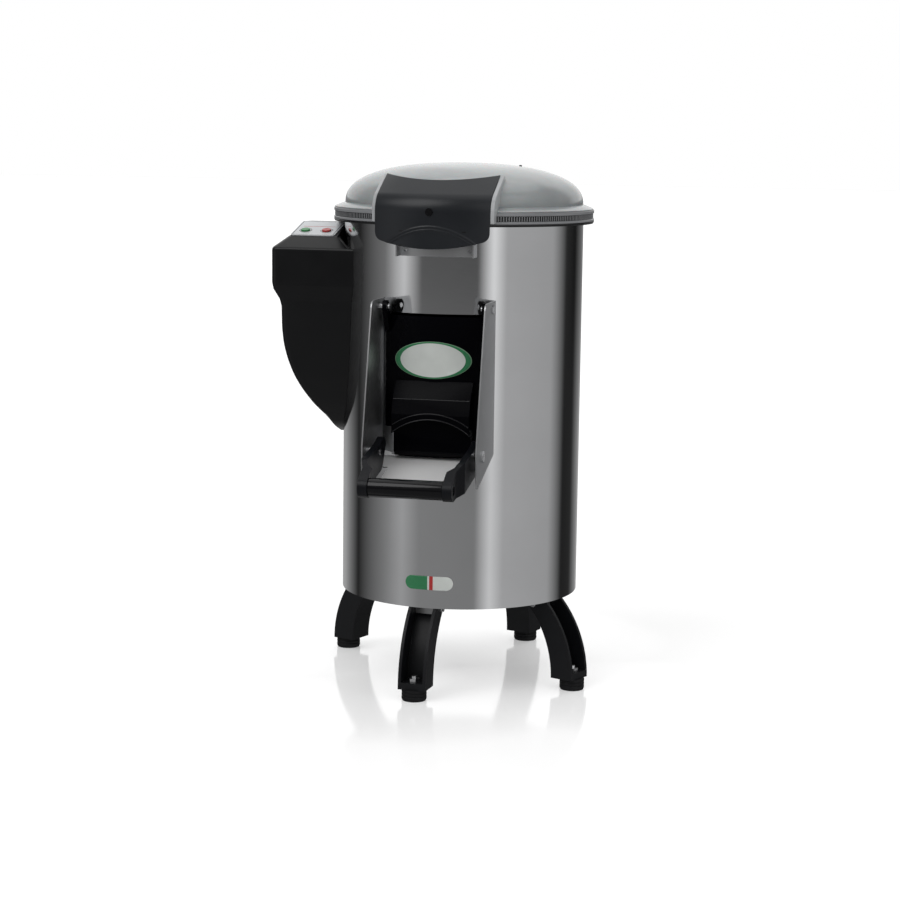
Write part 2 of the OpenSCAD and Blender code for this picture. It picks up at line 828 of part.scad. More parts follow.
module chute_cheeks() {
    color("silver") difference() {
        for (s = [-1, 1]) side_plate(s * cheek_x, chute_t) cheek_outline();
        translate([0, 0, sill_z - 80]) cylinder(r = body_r + seat, h = body_h);
        translate([0, -hinge_reach, hinge_z]) rod_x(-chute_w, 2 * chute_w, hinge_bolt_r + hole_play);
        translate([0, -pivot_reach, pivot_z]) rod_x(-chute_w, 2 * chute_w, pivot_bolt_r + hole_play);
    }
}

module chute_tray() {
    color("gainsboro") difference() {
        union() {
            side_plate(0, 2 * cheek_in - 2 * seat) polygon([
                [tray_rear, tray_z(tray_rear)], [tray_step, tray_z(tray_step)],
                [tray_step, tray_z(tray_step) - tray_t], [tray_rear, tray_z(tray_rear) - tray_t]]);
            side_plate(0, tray_w) polygon([
                [tray_step - 1, tray_z(tray_step - 1)], [tray_reach, tray_z(tray_reach)],
                [tray_reach, tray_z(tray_reach) - 14], [tray_reach - tray_t, tray_z(tray_reach) - 14],
                [tray_reach - tray_t, tray_z(tray_reach - tray_t) - tray_t],
                [tray_step - 1, tray_z(tray_step - 1) - tray_t]]);
        }
        difference() {
            translate([0, 0, sill_z - 60]) cylinder(r = body_r + seat, h = 120);
            translate([-mouth_low + seat, -body_r - 20, sill_z - 70])
                cube([2 * (mouth_low - seat), body_r, 140]);
        }
    }
}

// ---- Door -------------------------------------------------------------------

module door_outline_cut(inset) {
    stepped_cut(door_w / 2 - inset, door_low - inset, door_z0 + inset, door_notch_z + inset,
                door_z1 - inset);
}

module door_panel() {
    color("#1b1c1f") difference() {
        union() {
            intersection() {
                translate([0, 0, door_z0]) tube(door_r + door_t, door_r, door_z1 - door_z0);
                door_outline_cut(0);
            }
            difference() {
                side_plate(0, pocket_w) polygon([
                    [body_r - 30, pocket_top], [door_r + 2, pocket_top], [pocket_reach - 8, pocket_crease],
                    [pocket_reach, pocket_lip], [pocket_reach - 2, pocket_lip - 40],
                    [door_r + 9, door_z0 + 3], [body_r - 30, door_z0 + 3]]);
                translate([0, 0, door_z0 - 10]) cylinder(r = door_r + 0.5, h = 200);
                translate([0, -door_r - 14, pocket_arch_z]) rotate([90, 0, 0])
                    cylinder(r = pocket_arch_r, h = 60);
            }
            for (s = [-1, 1]) side_plate(s * lug_x, lug_t)
                link([hinge_reach, hinge_z], lug_r, [door_r - 13, door_z1 - 18], lug_r - 2);
        }
        translate([0, 0, door_z0 - 10]) cylinder(r = door_r - 0.01, h = 300);
        translate([0, -hinge_reach, hinge_z]) rod_x(-chute_w, 2 * chute_w, hinge_bolt_r + running);
    }
}

module door_seal() {
    color("#2c2c2c") difference() {
        intersection() {
            translate([0, 0, door_z0 + 1]) tube(door_r - 0.05, body_r + air, door_z1 - door_z0 - 2);
            door_outline_cut(1);
        }
        stepped_cut(mouth_w / 2 + 1, mouth_low + 1, door_z0 + seal_w, notch_z - 1, door_z1 - seal_w);
    }
}

module door_badge() {
    color("#e8efe8") intersection() {
        translate([0, 0, badge_z - 60]) tube(door_r + door_t + badge_t, door_r + door_t + running, 120);
        translate([0, 0, badge_z]) rotate([90, 0, 0]) linear_extrude(body_r + 60)
            polygon([for (a = [0:10:350]) [badge_half_w * cos(a), badge_half_h * sin(a)]]);
    }
}

module chute_bolts() {
    color("lightgray") for (s = [-1, 1]) {
        translate([0, -hinge_reach, hinge_z])
            cross_bolt(s, chute_w / 2, door_w / 2 - lug_t - 3, hinge_bolt_r);
        translate([0, -pivot_reach, pivot_z]) {
            cross_bolt(s, chute_w / 2, arm_in - 1, pivot_bolt_r);
            mirror([s < 0 ? 1 : 0, 0, 0]) rod_x(arm_out + air, arm_gap - 2 * air, collar_r);
        }
    }
}

// ---- Lever ------------------------------------------------------------------

module lever_arm() {
    difference() {
        intersection() {
            side_plate((arm_out + boss_in) / 2, arm_out - boss_in) {
                link(arm_heel, arm_heel_r, arm_back, arm_back_r);
                link(arm_back, arm_back_r, arm_belly, arm_belly_r);
                link(arm_belly, arm_belly_r, [bar_reach, bar_z], boss_r);
            }
            linear_extrude(body_z1) polygon([
                [arm_in, -body_r], [arm_out, -body_r], [arm_out, -bar_reach + 40],
                [boss_out, -bar_reach + boss_r], [boss_out, -bar_reach - 2 * boss_r],
                [boss_in, -bar_reach - 2 * boss_r], [boss_in, -bar_reach + boss_r],
                [arm_in - 3, -bar_reach + boss_r + 10], [arm_in, -bar_reach + 40]]);
        }
        translate([0, -pivot_reach, pivot_z]) rod_x(arm_in - 1, arm_t + 2, pivot_bolt_r + running);
        translate([0, -bar_reach, bar_z]) {
            rod_x(boss_in - 1, boss_t + 2, screw_r + hole_play);
            rod_x(boss_out - recess_depth, boss_t, recess_r);
        }
    }
}

module lever_arms() {
    color("#1b1c1f") for (s = [0, 1]) mirror([s, 0, 0]) lever_arm();
}

module grip_bar() {
    color("#202124") translate([0, -bar_reach, bar_z]) difference() {
        rod_x(-boss_in, 2 * boss_in, bar_r);
        for (s = [0, 1]) mirror([s, 0, 0]) rod_x(boss_in - screw_bite - 2, screw_bite + 3, screw_r + 0.02);
    }
}

module grip_screws() {
    color("dimgray") for (s = [-1, 1]) translate([0, -bar_reach, bar_z])
        mirror([s < 0 ? 1 : 0, 0, 0]) {
            rod_x(boss_in - screw_bite, boss_t + screw_bite - recess_depth, screw_r);
            rod_x(boss_out - recess_depth, recess_depth / 2, recess_r - 1);
        }
}

// ---- Lid --------------------------------------------------------------------

module lid_solid(grow) {
    rotate_extrude() polygon(concat(
        [[0, rim_z0 - 1], [rim_r + grow, rim_z0 - 1], [rim_r + grow, rim_z1 + grow],
         [dome_r + 4 + grow, dome_z0 + grow]],
        [for (a = [4:4:88]) dome_point(dome_r + grow, dome_h + grow, a) + [0, dome_z0]],
        [[0, lid_top + grow]]));
}

module lid_dome() {
    color([0.8, 0.82, 0.82, 0.6]) rotate_extrude() polygon(concat(
        [[rim_in_r + 3, rim_z1 - 2], [rim_r - 2, rim_z1 - 2], [rim_r - 2, rim_z1], [dome_r + 4, dome_z0]],
        [for (a = [4:4:88]) dome_point(dome_r, dome_h, a) + [0, dome_z0]],
        [[0, lid_top], [0, lid_top - dome_t]],
        [for (a = [88:-4:4]) dome_point(dome_r - dome_t, dome_h - dome_t, a) + [0, dome_z0]],
        [[dome_r - dome_t, dome_z0], [rim_in_r - 6, rim_z1 - 2]]));
}

module lid_rim() {
    color([0.62, 0.64, 0.65]) rotate_extrude() difference() {
        translate([rim_in_r, rim_z0]) square([rim_r - rim_in_r, rim_h - 2]);
        translate([rim_r - 2.5, rim_z0 + 6]) square([5, 9]);
        translate([rim_in_r - 1, rim_z0 - 1]) square([5, rim_h - 5]);
    }
}

module lid_gasket() {
    color("#1c1c1c") translate([0, 0, body_z1 + air]) tube(rim_in_r - seat, gasket_in_r, rim_h - 2 - 0.5);
}

// Radial section of the handle's plate, from its lower edge up over the rim to the dome.
function handle_section(low) = concat(
    [[handle_reach, low], [handle_reach, rim_z1 + 4]],
    arc([handle_reach - 28, rim_z1 + 4], 28, 12, 60, 5),
    [[handle_top_r + 10, rim_z1 + 40], [handle_top_r + 2, rim_z1 + 47], [handle_top_r - 2, rim_z1 + 58],
     [handle_top_r - 6, rim_z1 + 58], [handle_top_r - 4, rim_z1 + 44],
     [handle_reach - 22, rim_z1 + 22], [handle_reach - handle_t, rim_z1 + 4],
     [handle_reach - handle_t, low]]);

// A cylinder along Y whose lowest line is at z.
module scoop(z, r) {
    translate([0, 0, z + r]) rotate([90, 0, 0]) cylinder(r = r, h = 600, center = true, $fn = 180);
}

// Front view of the handle: straight sides, rounded lower corners, arched lower edge.
module handle_front() {
    r = handle_arch_r - handle_corner;
    x = handle_w / 2 - handle_corner;
    turn = asin(x / r);
    z = handle_z0 + handle_arch_r - r * cos(turn);
    polygon(concat([[handle_w / 2, handle_z0 + body_h]],
                   arc([x, z], handle_corner, 0, turn - 90, 6),
                   arc([0, handle_z0 + handle_arch_r], handle_arch_r, turn - 92, -88 - turn, 14),
                   arc([-x, z], handle_corner, -90 - turn, -180, 6),
                   [[-handle_w / 2, handle_z0 + body_h]]));
}

module lid_handle() {
    color("#2b2c2f") rotate([0, 0, handle_turn]) intersection() {
        difference() {
            rotate_extrude() polygon(handle_section(handle_z0 - 5));
            lid_solid(seat);
            scoop(handle_edge_z, 520);
            translate([0, -handle_reach, rim_z1 - 1]) rotate([90, 0, 0])
                cylinder(r = 4 + hole_play, h = 30, center = true);
        }
        rotate([90, 0, 0]) linear_extrude(2 * body_r) handle_front();
    }
}

module handle_boss() {
    color([0.8, 0.82, 0.82, 0.6]) rotate([0, 0, handle_turn]) difference() {
        intersection() {
            rotate_extrude() polygon([
                [rim_r + seat, rim_z0 + 2], [handle_reach - handle_t - seat, rim_z0 + 2],
                [handle_reach - handle_t - seat, rim_z1 + 3], [handle_reach - 22 - seat, rim_z1 + 21],
                [handle_top_r - 4 - seat, rim_z1 + 43], [handle_top_r - 20, rim_z1 + 43],
                [dome_r - 10, rim_z1 + 2], [rim_r + seat, rim_z1 - 1]]);
            for (s = [0, 1]) mirror([s, 0, 0]) translate([handle_boss_x, -2 * body_r, rim_z0])
                cube([handle_boss_w, 2 * body_r, body_h]);
        }
        lid_solid(seat);
    }
}

module lid_screws() {
    color("dimgray") {
        rotate([0, 0, handle_turn]) translate([0, -handle_reach - 1.5, rim_z1 - 1]) rotate([-90, 0, 0]) {
            cylinder(r = 6, h = 1.5);
            cylinder(r = 4, h = handle_reach - rim_r + 1.2);
        }
        for (s = [-1, 1]) translate([s * hinge_arm_x, 166, rim_z1 + 57.5]) rotate([-arm_slope, 0, 0]) {
            cylinder(r = 5, h = 4, $fn = 6);
            cylinder(r = 2.5, h = 8);
        }
    }
}

module lid_hinge_arms() {
    color("silver") difference() {
        for (s = [-1, 1]) side_plate(s * hinge_arm_x, hinge_arm_w) {
            link([-lid_hinge_reach, lid_hinge_z], eye_r,
                 [-lid_hinge_reach + 2, rim_z1 + 26], hinge_arm_t / 2);
            link([-lid_hinge_reach + 2, rim_z1 + 26], hinge_arm_t / 2, [-178, rim_z1 + 50], hinge_arm_t / 2);
            link([-178, rim_z1 + 50], hinge_arm_t / 2, [-148, rim_z1 + 58], hinge_arm_t / 2);
            polygon([[-180, rim_z1 + 50], [-148, rim_z1 + 58], [-148, rim_z1 + 40], [-180, rim_z1 + 20]]);
        }
        lid_solid(seat);
        translate([0, lid_hinge_reach, lid_hinge_z]) rod_x(-body_r, 2 * body_r, pin_r + running);
    }
}

module hinge_bracket() {
    color("silver") difference() {
        union() {
            intersection() {
                translate([0, 0, body_z1 - hinge_plate_drop])
                    tube(body_r + seat + hinge_plate_t, body_r + seat, hinge_plate_h);
                translate([-hinge_plate_w / 2, 0, 0]) cube([hinge_plate_w, 2 * body_r, 2 * body_z1]);
            }
            for (x = [-hinge_arm_x, hinge_arm_x], dx = [-hinge_ear_gap, hinge_ear_gap])
                side_plate(x + dx, hinge_ear_t) union() {
                    link([-lid_hinge_reach, lid_hinge_z], eye_r, [-body_r - 6, body_z1 - 30], eye_r);
                    polygon([[-150, body_z1 - 10], [-150, body_z1 - 66], [-body_r - 10, body_z1 - 60],
                             [-body_r - 14, body_z1 - 10]]);
                }
        }
        translate([0, 0, body_z1 - body_h / 2]) cylinder(r = body_r + seat, h = body_h);
        translate([0, 0, rim_z0 - 2]) cylinder(r = rim_r + 1, h = 60);
        translate([0, lid_hinge_reach, lid_hinge_z]) rod_x(-body_r, 2 * body_r, pin_r + hole_play);
    }
}

module hinge_pins() {
    color("lightgray") translate([0, lid_hinge_reach, lid_hinge_z]) for (s = [-1, 1]) {
        rod_x(s * hinge_arm_x - 15, 30, pin_r);
        rod_x(s * hinge_arm_x - (s > 0 ? -13 : 16), 3, pin_r + 3);
    }
}

// ---- Lid catch and body badge ----------------------------------------------

module catch_bracket() {
    color("gainsboro") difference() {
        union() {
            intersection() {
                translate([0, 0, catch_z0]) tube(body_r + seat + catch_t, body_r + seat, catch_h);
                translate([-catch_x, -body_r - 30, catch_z0]) cube([2 * catch_x, 100, catch_h]);
            }
            for (s = [-1, 1]) side_plate(s * (catch_x - catch_t / 2), catch_t) polygon([
                [150, catch_z0], [catch_reach, catch_z0], [catch_reach, catch_z0 + catch_h - 14],
                [body_r, catch_z0 + catch_h], [150, catch_z0 + catch_h]]);
        }
        translate([0, 0, catch_z0 - 1]) cylinder(r = body_r + seat, h = catch_h + 2);
        for (s = [-1, 1]) translate([s * (catch_x - 11), -body_r, catch_z0 + 9])
            rotate([90, 0, 0]) cylinder(r = 2.5, h = 40, center = true);
    }
}

module body_badge() {
    color("#e8efe8") intersection() {
        translate([0, 0, body_z0 + 20]) tube(body_r + 1.2, body_r + seat, 40);
        rotate([0, 0, -2]) translate([0, 0, body_z0 + 41]) rotate([90, 0, 0]) linear_extrude(body_r + 20) {
            square([56, 23], center = true);
            for (s = [-1, 1]) translate([s * 28, 0]) circle(11.5);
        }
    }
}

// ---- Control box ------------------------------------------------------------

// Front view of the box, X against Z, drawn i inside the outer faces.
function box_front_view(i) = [
    [-box_in_x, box_tip_z + i], [-(box_reach - 91) + i, box_tip_z + 2 + 2 * i],
    [-(box_reach - 82) + i, box_tip_z + 24 + i], [-(box_reach - 61) + i, box_tip_z + 48 + i],
    [-(box_reach - 43) + i, box_tip_z + 74 + i], [-(box_reach - 30) + i, box_tip_z + 98],
    [-(box_reach - 20) + i, box_tip_z + 124], [-(box_reach - 14) + i, box_tip_z + 150],
    [-(box_reach - 12) + i, box_tip_z + 176], [-(box_reach - 12) + i, box_tip_z + 210],
    [-(box_reach - 9) + i, box_tip_z + 222], [-(box_reach - 2) + i, box_tip_z + 238],
    [-box_reach + i, box_tip_z + 250],
    [-box_reach + i, shoulder_z - i], [-(box_reach - 21) + i, shoulder_z + 21 - i],
    [-(box_reach - 22) + i, box_top + 10], [-box_neck_x - i, box_top + 10],
    [-(box_neck_x - 5) - i, shoulder_z + 12 - i],
    [-(box_neck_x - 16) - i, shoulder_z + 3 - i],
    [-box_in_x, shoulder_z - i]];

// Side view of the box, distance before the body axis against Z.
function box_side_view(i) = [
    [-box_back + i, box_top - i], [10, box_top - i],
    [panel_front - i / 2, box_top - (panel_front - 10) * tan(panel_slope) - i],
    [box_front - i, shoulder_z - i], [box_front - i, box_waist_z],
    [box_front - 6 - i, box_waist_z - 24], [box_front - 10 - i, box_waist_z - 80],
    [box_front - 17 - i, box_waist_z - 150], [box_front - 30 - i, box_waist_z - 200],
    [box_front - 60 - i, box_tip_z + 12 + i], [30 + i, box_tip_z + i], [8 + i, box_tip_z + 14 + i],
    [-box_back + 12 + i, box_waist_z - 150], [-box_back + i, box_waist_z - 60]];

module box_form(i) {
    intersection() {
        rotate([90, 0, 0]) linear_extrude(2 * box_reach, center = true) polygon(box_front_view(i));
        side_plate(-box_reach / 2 - box_wall, box_reach) polygon(box_side_view(i));
    }
}

module panel_place() {
    translate([panel_x, -panel_front, box_top - (panel_front - 10) * tan(panel_slope)])
        rotate([panel_slope, 0, 0]) children();
}

module button_places() {
    for (k = [-1, 1]) panel_place() translate([k * button_x, button_y, 0]) children();
}

module control_box() {
    color("#232427") difference() {
        box_form(0);
        intersection() {
            box_form(box_wall);
            translate([-2 * body_r, -body_r, box_tip_z + 20]) cube([2 * body_r, 2 * body_r, body_h]);
            difference() {
                translate([-2 * body_r, -2 * body_r, 0]) cube([4 * body_r, 4 * body_r, body_z1]);
                cylinder(r = body_r + 2 * box_wall, h = body_z1);
            }
        }
        cylinder(r = body_r + seat, h = body_z1 + 1);
        button_places() translate([0, 0, -block_depth]) cylinder(r = button_r + air, h = 3 * block_depth);
        translate([gland_x, 0, gland_z]) rotate([-90, 0, 0])
            cylinder(r = gland_r + hole_play, h = box_back + gland_l);
    }
}

module control_panel() {
    color("whitesmoke") difference() {
        panel_place() translate([-panel_w / 2, 0.5, 0]) difference() {
            cube([panel_w, panel_l, panel_t]);
            for (x = [0, panel_w], y = [0, panel_l]) translate([x, y, 0]) difference() {
                cube([12, 12, 10], center = true);
                translate([x == 0 ? 6 : -6, y == 0 ? 6 : -6, -6]) cylinder(r = 6, h = 12);
            }
        }
        button_places() translate([0, 0, -5]) cylinder(r = button_r + air, h = 20);
    }
}

module button(k) {
    panel_place() translate([k * button_x, button_y, -button_h])
        cylinder(r = button_r, h = button_h + button_travel + panel_t + 2 * air);
}

module start_button() { color("seagreen") button(-1); }
module stop_button() { color("firebrick") button(1); }

module switch_block() {
    color("#3a3a3a") difference() {
        panel_place() translate([-block_w / 2, block_y, -block_depth])
            cube([block_w, block_l, block_depth - box_wall - 3 * seat]);
        cylinder(r = body_r + 2 * box_wall + seat, h = body_z1);
        button_places() translate([0, 0, -button_h - button_travel - 1])
            cylinder(r = button_r + air, h = 40);
    }
}

module cable_gland() {
    color("#1e1e1e") translate([gland_x, box_back - box_wall - gland_nut_h, gland_z]) rotate([-90, 0, 0])
        difference() {
            union() {
                cylinder(r = gland_r, h = gland_l);
                translate([0, 0, box_wall + gland_nut_h + seat])
                    cylinder(r = gland_nut_r, h = gland_nut_h + 2, $fn = 6);
                cylinder(r = gland_nut_r, h = gland_nut_h - seat, $fn = 6);
            }
            translate([0, 0, -1]) cylinder(r = cord_r, h = gland_l + 2);
        }
}

body_shell();
base_plate();
chamber_floor();
chamber_liner();
front_leg();
right_leg();
rear_leg();
left_leg();
leg_bolts();
foot_pads();
foot_studs();
foot_nuts();
bearing_housing();
shaft_bearings();
shaft_seal();
housing_bolts();
drive_shaft();
disc_plate();
grit_coat();
disc_knob();
driven_pulley();
shaft_nut();
drive_belt();
motor_bracket();
bracket_posts();
motor_housing();
motor_bolts();
terminal_box();
fan_cover();
cooling_fan();
motor_shaft();
motor_pulley();
water_inlet();
drain_pipe();
chute_cheeks();
chute_tray();
door_panel();
door_seal();
door_badge();
chute_bolts();
lever_arms();
grip_bar();
grip_screws();
lid_dome();
lid_rim();
lid_gasket();
lid_handle();
handle_boss();
lid_screws();
lid_hinge_arms();
hinge_bracket();
hinge_pins();
catch_bracket();
body_badge();
control_box();
control_panel();
start_button();
stop_button();
switch_block();
cable_gland();
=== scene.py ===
import math

import bmesh
import bpy
import numpy as np
from mathutils import Matrix, Vector


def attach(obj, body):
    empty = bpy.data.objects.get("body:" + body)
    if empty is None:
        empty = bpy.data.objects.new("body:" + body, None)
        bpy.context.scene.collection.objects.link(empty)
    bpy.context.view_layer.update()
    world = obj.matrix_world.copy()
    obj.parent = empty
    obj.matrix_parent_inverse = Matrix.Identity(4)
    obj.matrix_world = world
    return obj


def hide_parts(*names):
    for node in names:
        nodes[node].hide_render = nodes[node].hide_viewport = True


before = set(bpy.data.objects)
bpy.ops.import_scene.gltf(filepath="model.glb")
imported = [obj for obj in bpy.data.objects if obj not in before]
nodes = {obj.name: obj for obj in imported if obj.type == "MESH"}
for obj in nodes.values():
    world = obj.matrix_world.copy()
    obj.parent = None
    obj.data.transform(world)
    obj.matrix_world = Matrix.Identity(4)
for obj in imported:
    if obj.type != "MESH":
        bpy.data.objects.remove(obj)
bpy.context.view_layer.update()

# ---- Camera ------------------------------------------------------------------
# The view is from the front, a little to the right of the chute and slightly
# above, through a long lens three and a half metres away.

CAMERA_DISTANCE = 3.510
CAMERA_HEIGHT = 0.898
CAMERA_AZIMUTH = math.radians(12.4)
CAMERA_YAW = -0.0052
CAMERA_PITCH = 0.15
CAMERA_ROLL = -0.0127
LENS = 85.45
SENSOR_WIDTH = 36.0

camera_data = bpy.data.cameras.new("camera")
camera_data.lens = LENS
camera_data.sensor_width = SENSOR_WIDTH
camera = bpy.data.objects.new("camera", camera_data)
bpy.context.scene.collection.objects.link(camera)
forward = Vector((math.sin(CAMERA_YAW) * math.cos(CAMERA_PITCH),
                  math.cos(CAMERA_YAW) * math.cos(CAMERA_PITCH), -math.sin(CAMERA_PITCH)))
right = Vector((math.cos(CAMERA_YAW), -math.sin(CAMERA_YAW), 0.0))
up = right.cross(forward)
rolled_right = right * math.cos(CAMERA_ROLL) - up * math.sin(CAMERA_ROLL)
rolled_up = right * math.sin(CAMERA_ROLL) + up * math.cos(CAMERA_ROLL)
looking = Matrix((rolled_right, rolled_up, -forward)).transposed().to_4x4()
camera.matrix_world = (Matrix.Rotation(CAMERA_AZIMUTH, 4, "Z")
                       @ Matrix.Translation((0.0, -CAMERA_DISTANCE, CAMERA_HEIGHT)) @ looking)
bpy.context.scene.camera = camera

# ---- Studio ------------------------------------------------------------------
# A pale floor, polished around the feet, runs into a white room with broad soft
# lamps. In gloss the floor is left out, and the room shows tall dark and bright
# panels, which give round steel its bands.

scene = bpy.context.scene
scene.view_settings.view_transform = "Standard"

MM = 0.001
FLOOR_SIZE = 60.0              # metres
FLOOR_COLOUR = 0.86
FLOOR_ROUGH = 0.10
FLOOR_GLOW = 0.33
FOOT_REACH = 231.0
LEG_TURNS = (-5.0, 65.5, 161.5, 248.5)
POLISH = (1.0, 0.03)           # specular level beside a foot and away from it
POLISH_EDGE = (50.0, 270.0)    # from the nearest foot
ROOM_LEVELS = (0.30, 0.52)     # grey of the room in soft light, below and above
ROOM_FOOT = -0.1               # heights here are the Z of a direction
CEILING_LEVEL = 0.24
FOOT_TO_HEAD = (-0.17, -0.05)
HEAD_TO_CEILING = (0.08, 0.30)
BACK_WALL_FOOT = (0.0, 0.06)
BACK_WALL_SIDE = (0.45, 0.75)  # share of a direction that points away from the viewer
BACK_WALL_LEVEL = 1.0
PANELS = (  # turn from the viewer in degrees, grey at foot height, grey at head height
    (-180, 0.45, 0.35),  # wall behind the part
    (-150, 0.40, 0.10),
    (-118, 0.02, 0.02),  # left black flag
    (-80, 0.25, 0.22),
    (-58, 0.45, 0.80),   # left strip light
    (-40, 0.28, 0.12),
    (14, 0.26, 0.10),    # grey wall behind the viewer
    (29, 0.80, 1.00),    # right strip light
    (42, 0.50, 0.50),
    (95, 0.45, 0.45),    # right wall
    (117, 0.02, 0.03),   # right black flag
    (136, 0.03, 0.01),
    (160, 0.35, 0.20),
    (180, 0.45, 0.35))


def feed(tree, value, target):
    """Links a socket to an input, or writes a number there."""
    if isinstance(value, (int, float)):
        target.default_value = value
    else:
        tree.links.new(value, target)


def scalar(tree, operation, *terms):
    """Output of a Math node; the terms are sockets or numbers."""
    node = tree.nodes.new("ShaderNodeMath")
    node.operation = operation
    for term, target in zip(terms, node.inputs):
        feed(tree, term, target)
    return node.outputs[0]


def ranged(tree, value, low, high, start=0.0, end=1.0, course="LINEAR"):
    """Goes from start to end while the value goes from low to high, and stays there beyond."""
    node = tree.nodes.new("ShaderNodeMapRange")
    node.interpolation_type = course
    for label, term in (("Value", value), ("From Min", low), ("From Max", high),
                        ("To Min", start), ("To Max", end)):
        feed(tree, term, node.inputs[label])
    return node.outputs[0]


def stepped(tree, value, low, high, start=0.0, end=1.0):
    """The same with a smooth course that starts and ends level."""
    return ranged(tree, value, low, high, start, end, "SMOOTHSTEP")


def blended(tree, share, a, b):
    """a where the share is 0, b where it is 1; all are grey levels."""
    node = tree.nodes.new("ShaderNodeMix")
    feed(tree, share, node.inputs["Factor"])
    feed(tree, a, node.inputs["A"])
    feed(tree, b, node.inputs["B"])
    return node.outputs["Result"]


def mixed(tree, share, a, b):
    """Mix Shader of two shader sockets."""
    node = tree.nodes.new("ShaderNodeMixShader")
    feed(tree, share, node.inputs[0])
    tree.links.new(a, node.inputs[1])
    tree.links.new(b, node.inputs[2])
    return node.outputs[0]


def foot_place(degrees):
    """Middle of a foot on the floor: FOOT_REACH from the axis, turned from the front."""
    turn = math.radians(degrees)
    return np.array([FOOT_REACH * math.sin(turn), -FOOT_REACH * math.cos(turn), 0])


half = FLOOR_SIZE / 2
floor_mesh = bpy.data.meshes.new("studio_floor")
floor_mesh.from_pydata([(-half, -half, 0), (half, -half, 0), (half, half, 0), (-half, half, 0)],
                       [], [(0, 1, 2, 3)])
floor = bpy.data.objects.new("studio_floor", floor_mesh)
scene.collection.objects.link(floor)
floor_material = bpy.data.materials.new("studio_floor")
floor_material.use_nodes = True
floor_mesh.materials.append(floor_material)
nt = floor_material.node_tree
nt.nodes.clear()
floor_out = nt.nodes.new("ShaderNodeOutputMaterial")
floor_look = nt.nodes.new("ShaderNodeBsdfPrincipled")
floor_look.inputs["Base Color"].default_value = (FLOOR_COLOUR, FLOOR_COLOUR, FLOOR_COLOUR, 1)
floor_look.inputs["Roughness"].default_value = FLOOR_ROUGH
floor_here = nt.nodes.new("ShaderNodeTexCoord").outputs["Object"]
nearest = FLOOR_SIZE
for degrees in LEG_TURNS:
    apart = nt.nodes.new("ShaderNodeVectorMath")
    apart.operation = "DISTANCE"
    nt.links.new(floor_here, apart.inputs[0])
    apart.inputs[1].default_value = foot_place(degrees) * MM
    nearest = scalar(nt, "MINIMUM", apart.outputs["Value"], nearest)
nt.links.new(stepped(nt, nearest, POLISH_EDGE[0] * MM, POLISH_EDGE[1] * MM, *POLISH),
             floor_look.inputs["Specular IOR Level"])
floor_glow = nt.nodes.new("ShaderNodeEmission")
floor_glow.inputs["Strength"].default_value = FLOOR_GLOW
floor_clear = nt.nodes.new("ShaderNodeBsdfTransparent")
floor_sum = nt.nodes.new("ShaderNodeAddShader")
nt.links.new(floor_look.outputs[0], floor_sum.inputs[0])
nt.links.new(floor_glow.outputs[0], floor_sum.inputs[1])
rays = nt.nodes.new("ShaderNodeLightPath").outputs
plain = mixed(nt, rays["Is Camera Ray"], floor_look.outputs[0], floor_sum.outputs[0])
nt.links.new(mixed(nt, rays["Is Glossy Ray"], plain, floor_clear.outputs[0]),
             floor_out.inputs[0])

world = bpy.data.worlds.new("studio_room")
scene.world = world
world.use_nodes = True
nt = world.node_tree
nt.nodes.clear()
world_out = nt.nodes.new("ShaderNodeOutputWorld")
direction = nt.nodes.new("ShaderNodeTexCoord")
split = nt.nodes.new("ShaderNodeSeparateXYZ")
nt.links.new(direction.outputs["Generated"], split.inputs[0])
toward_x, toward_y, rise = split.outputs["X"], split.outputs["Y"], split.outputs["Z"]
turn = scalar(nt, "ARCTAN2", toward_x, scalar(nt, "MULTIPLY", toward_y, -1.0))
panels_start = -math.pi + CAMERA_AZIMUTH
panels_end = math.pi + CAMERA_AZIMUTH
share = ranged(nt, scalar(nt, "WRAP", turn, panels_end, panels_start), panels_start, panels_end)
rows = []
for height in (1, 2):
    bands = nt.nodes.new("ShaderNodeValToRGB")
    while len(bands.color_ramp.elements) < len(PANELS):
        bands.color_ramp.elements.new(0.5)
    for element, panel in zip(bands.color_ramp.elements, PANELS):
        element.position = (panel[0] + 180) / 360
        element.color = (panel[height], panel[height], panel[height], 1)
    nt.links.new(share, bands.inputs[0])
    grey = nt.nodes.new("ShaderNodeRGBToBW")
    nt.links.new(bands.outputs[0], grey.inputs[0])
    rows.append(grey.outputs[0])
panel_level = blended(nt, stepped(nt, rise, *FOOT_TO_HEAD), rows[0], rows[1])
above_level = blended(nt, stepped(nt, rise, *HEAD_TO_CEILING), panel_level, CEILING_LEVEL)
behind = scalar(nt, "ADD", scalar(nt, "MULTIPLY", toward_x, -math.sin(CAMERA_AZIMUTH)),
                scalar(nt, "MULTIPLY", toward_y, math.cos(CAMERA_AZIMUTH)))
back_wall = scalar(nt, "MULTIPLY", stepped(nt, behind, *BACK_WALL_SIDE),
                   stepped(nt, rise, *BACK_WALL_FOOT))
gloss_room = nt.nodes.new("ShaderNodeBackground")
nt.links.new(blended(nt, back_wall, above_level, BACK_WALL_LEVEL), gloss_room.inputs["Color"])
soft_room = nt.nodes.new("ShaderNodeBackground")
nt.links.new(ranged(nt, rise, ROOM_FOOT, 1.0, *ROOM_LEVELS), soft_room.inputs["Color"])
white_room = nt.nodes.new("ShaderNodeBackground")
white_room.inputs["Color"].default_value = (1, 1, 1, 1)
rays = nt.nodes.new("ShaderNodeLightPath").outputs
lit = mixed(nt, rays["Is Glossy Ray"], soft_room.outputs[0], gloss_room.outputs[0])
seen = scalar(nt, "MAXIMUM", rays["Is Camera Ray"], rays["Is Transmission Ray"])
nt.links.new(mixed(nt, seen, lit, white_room.outputs[0]), world_out.inputs[0])

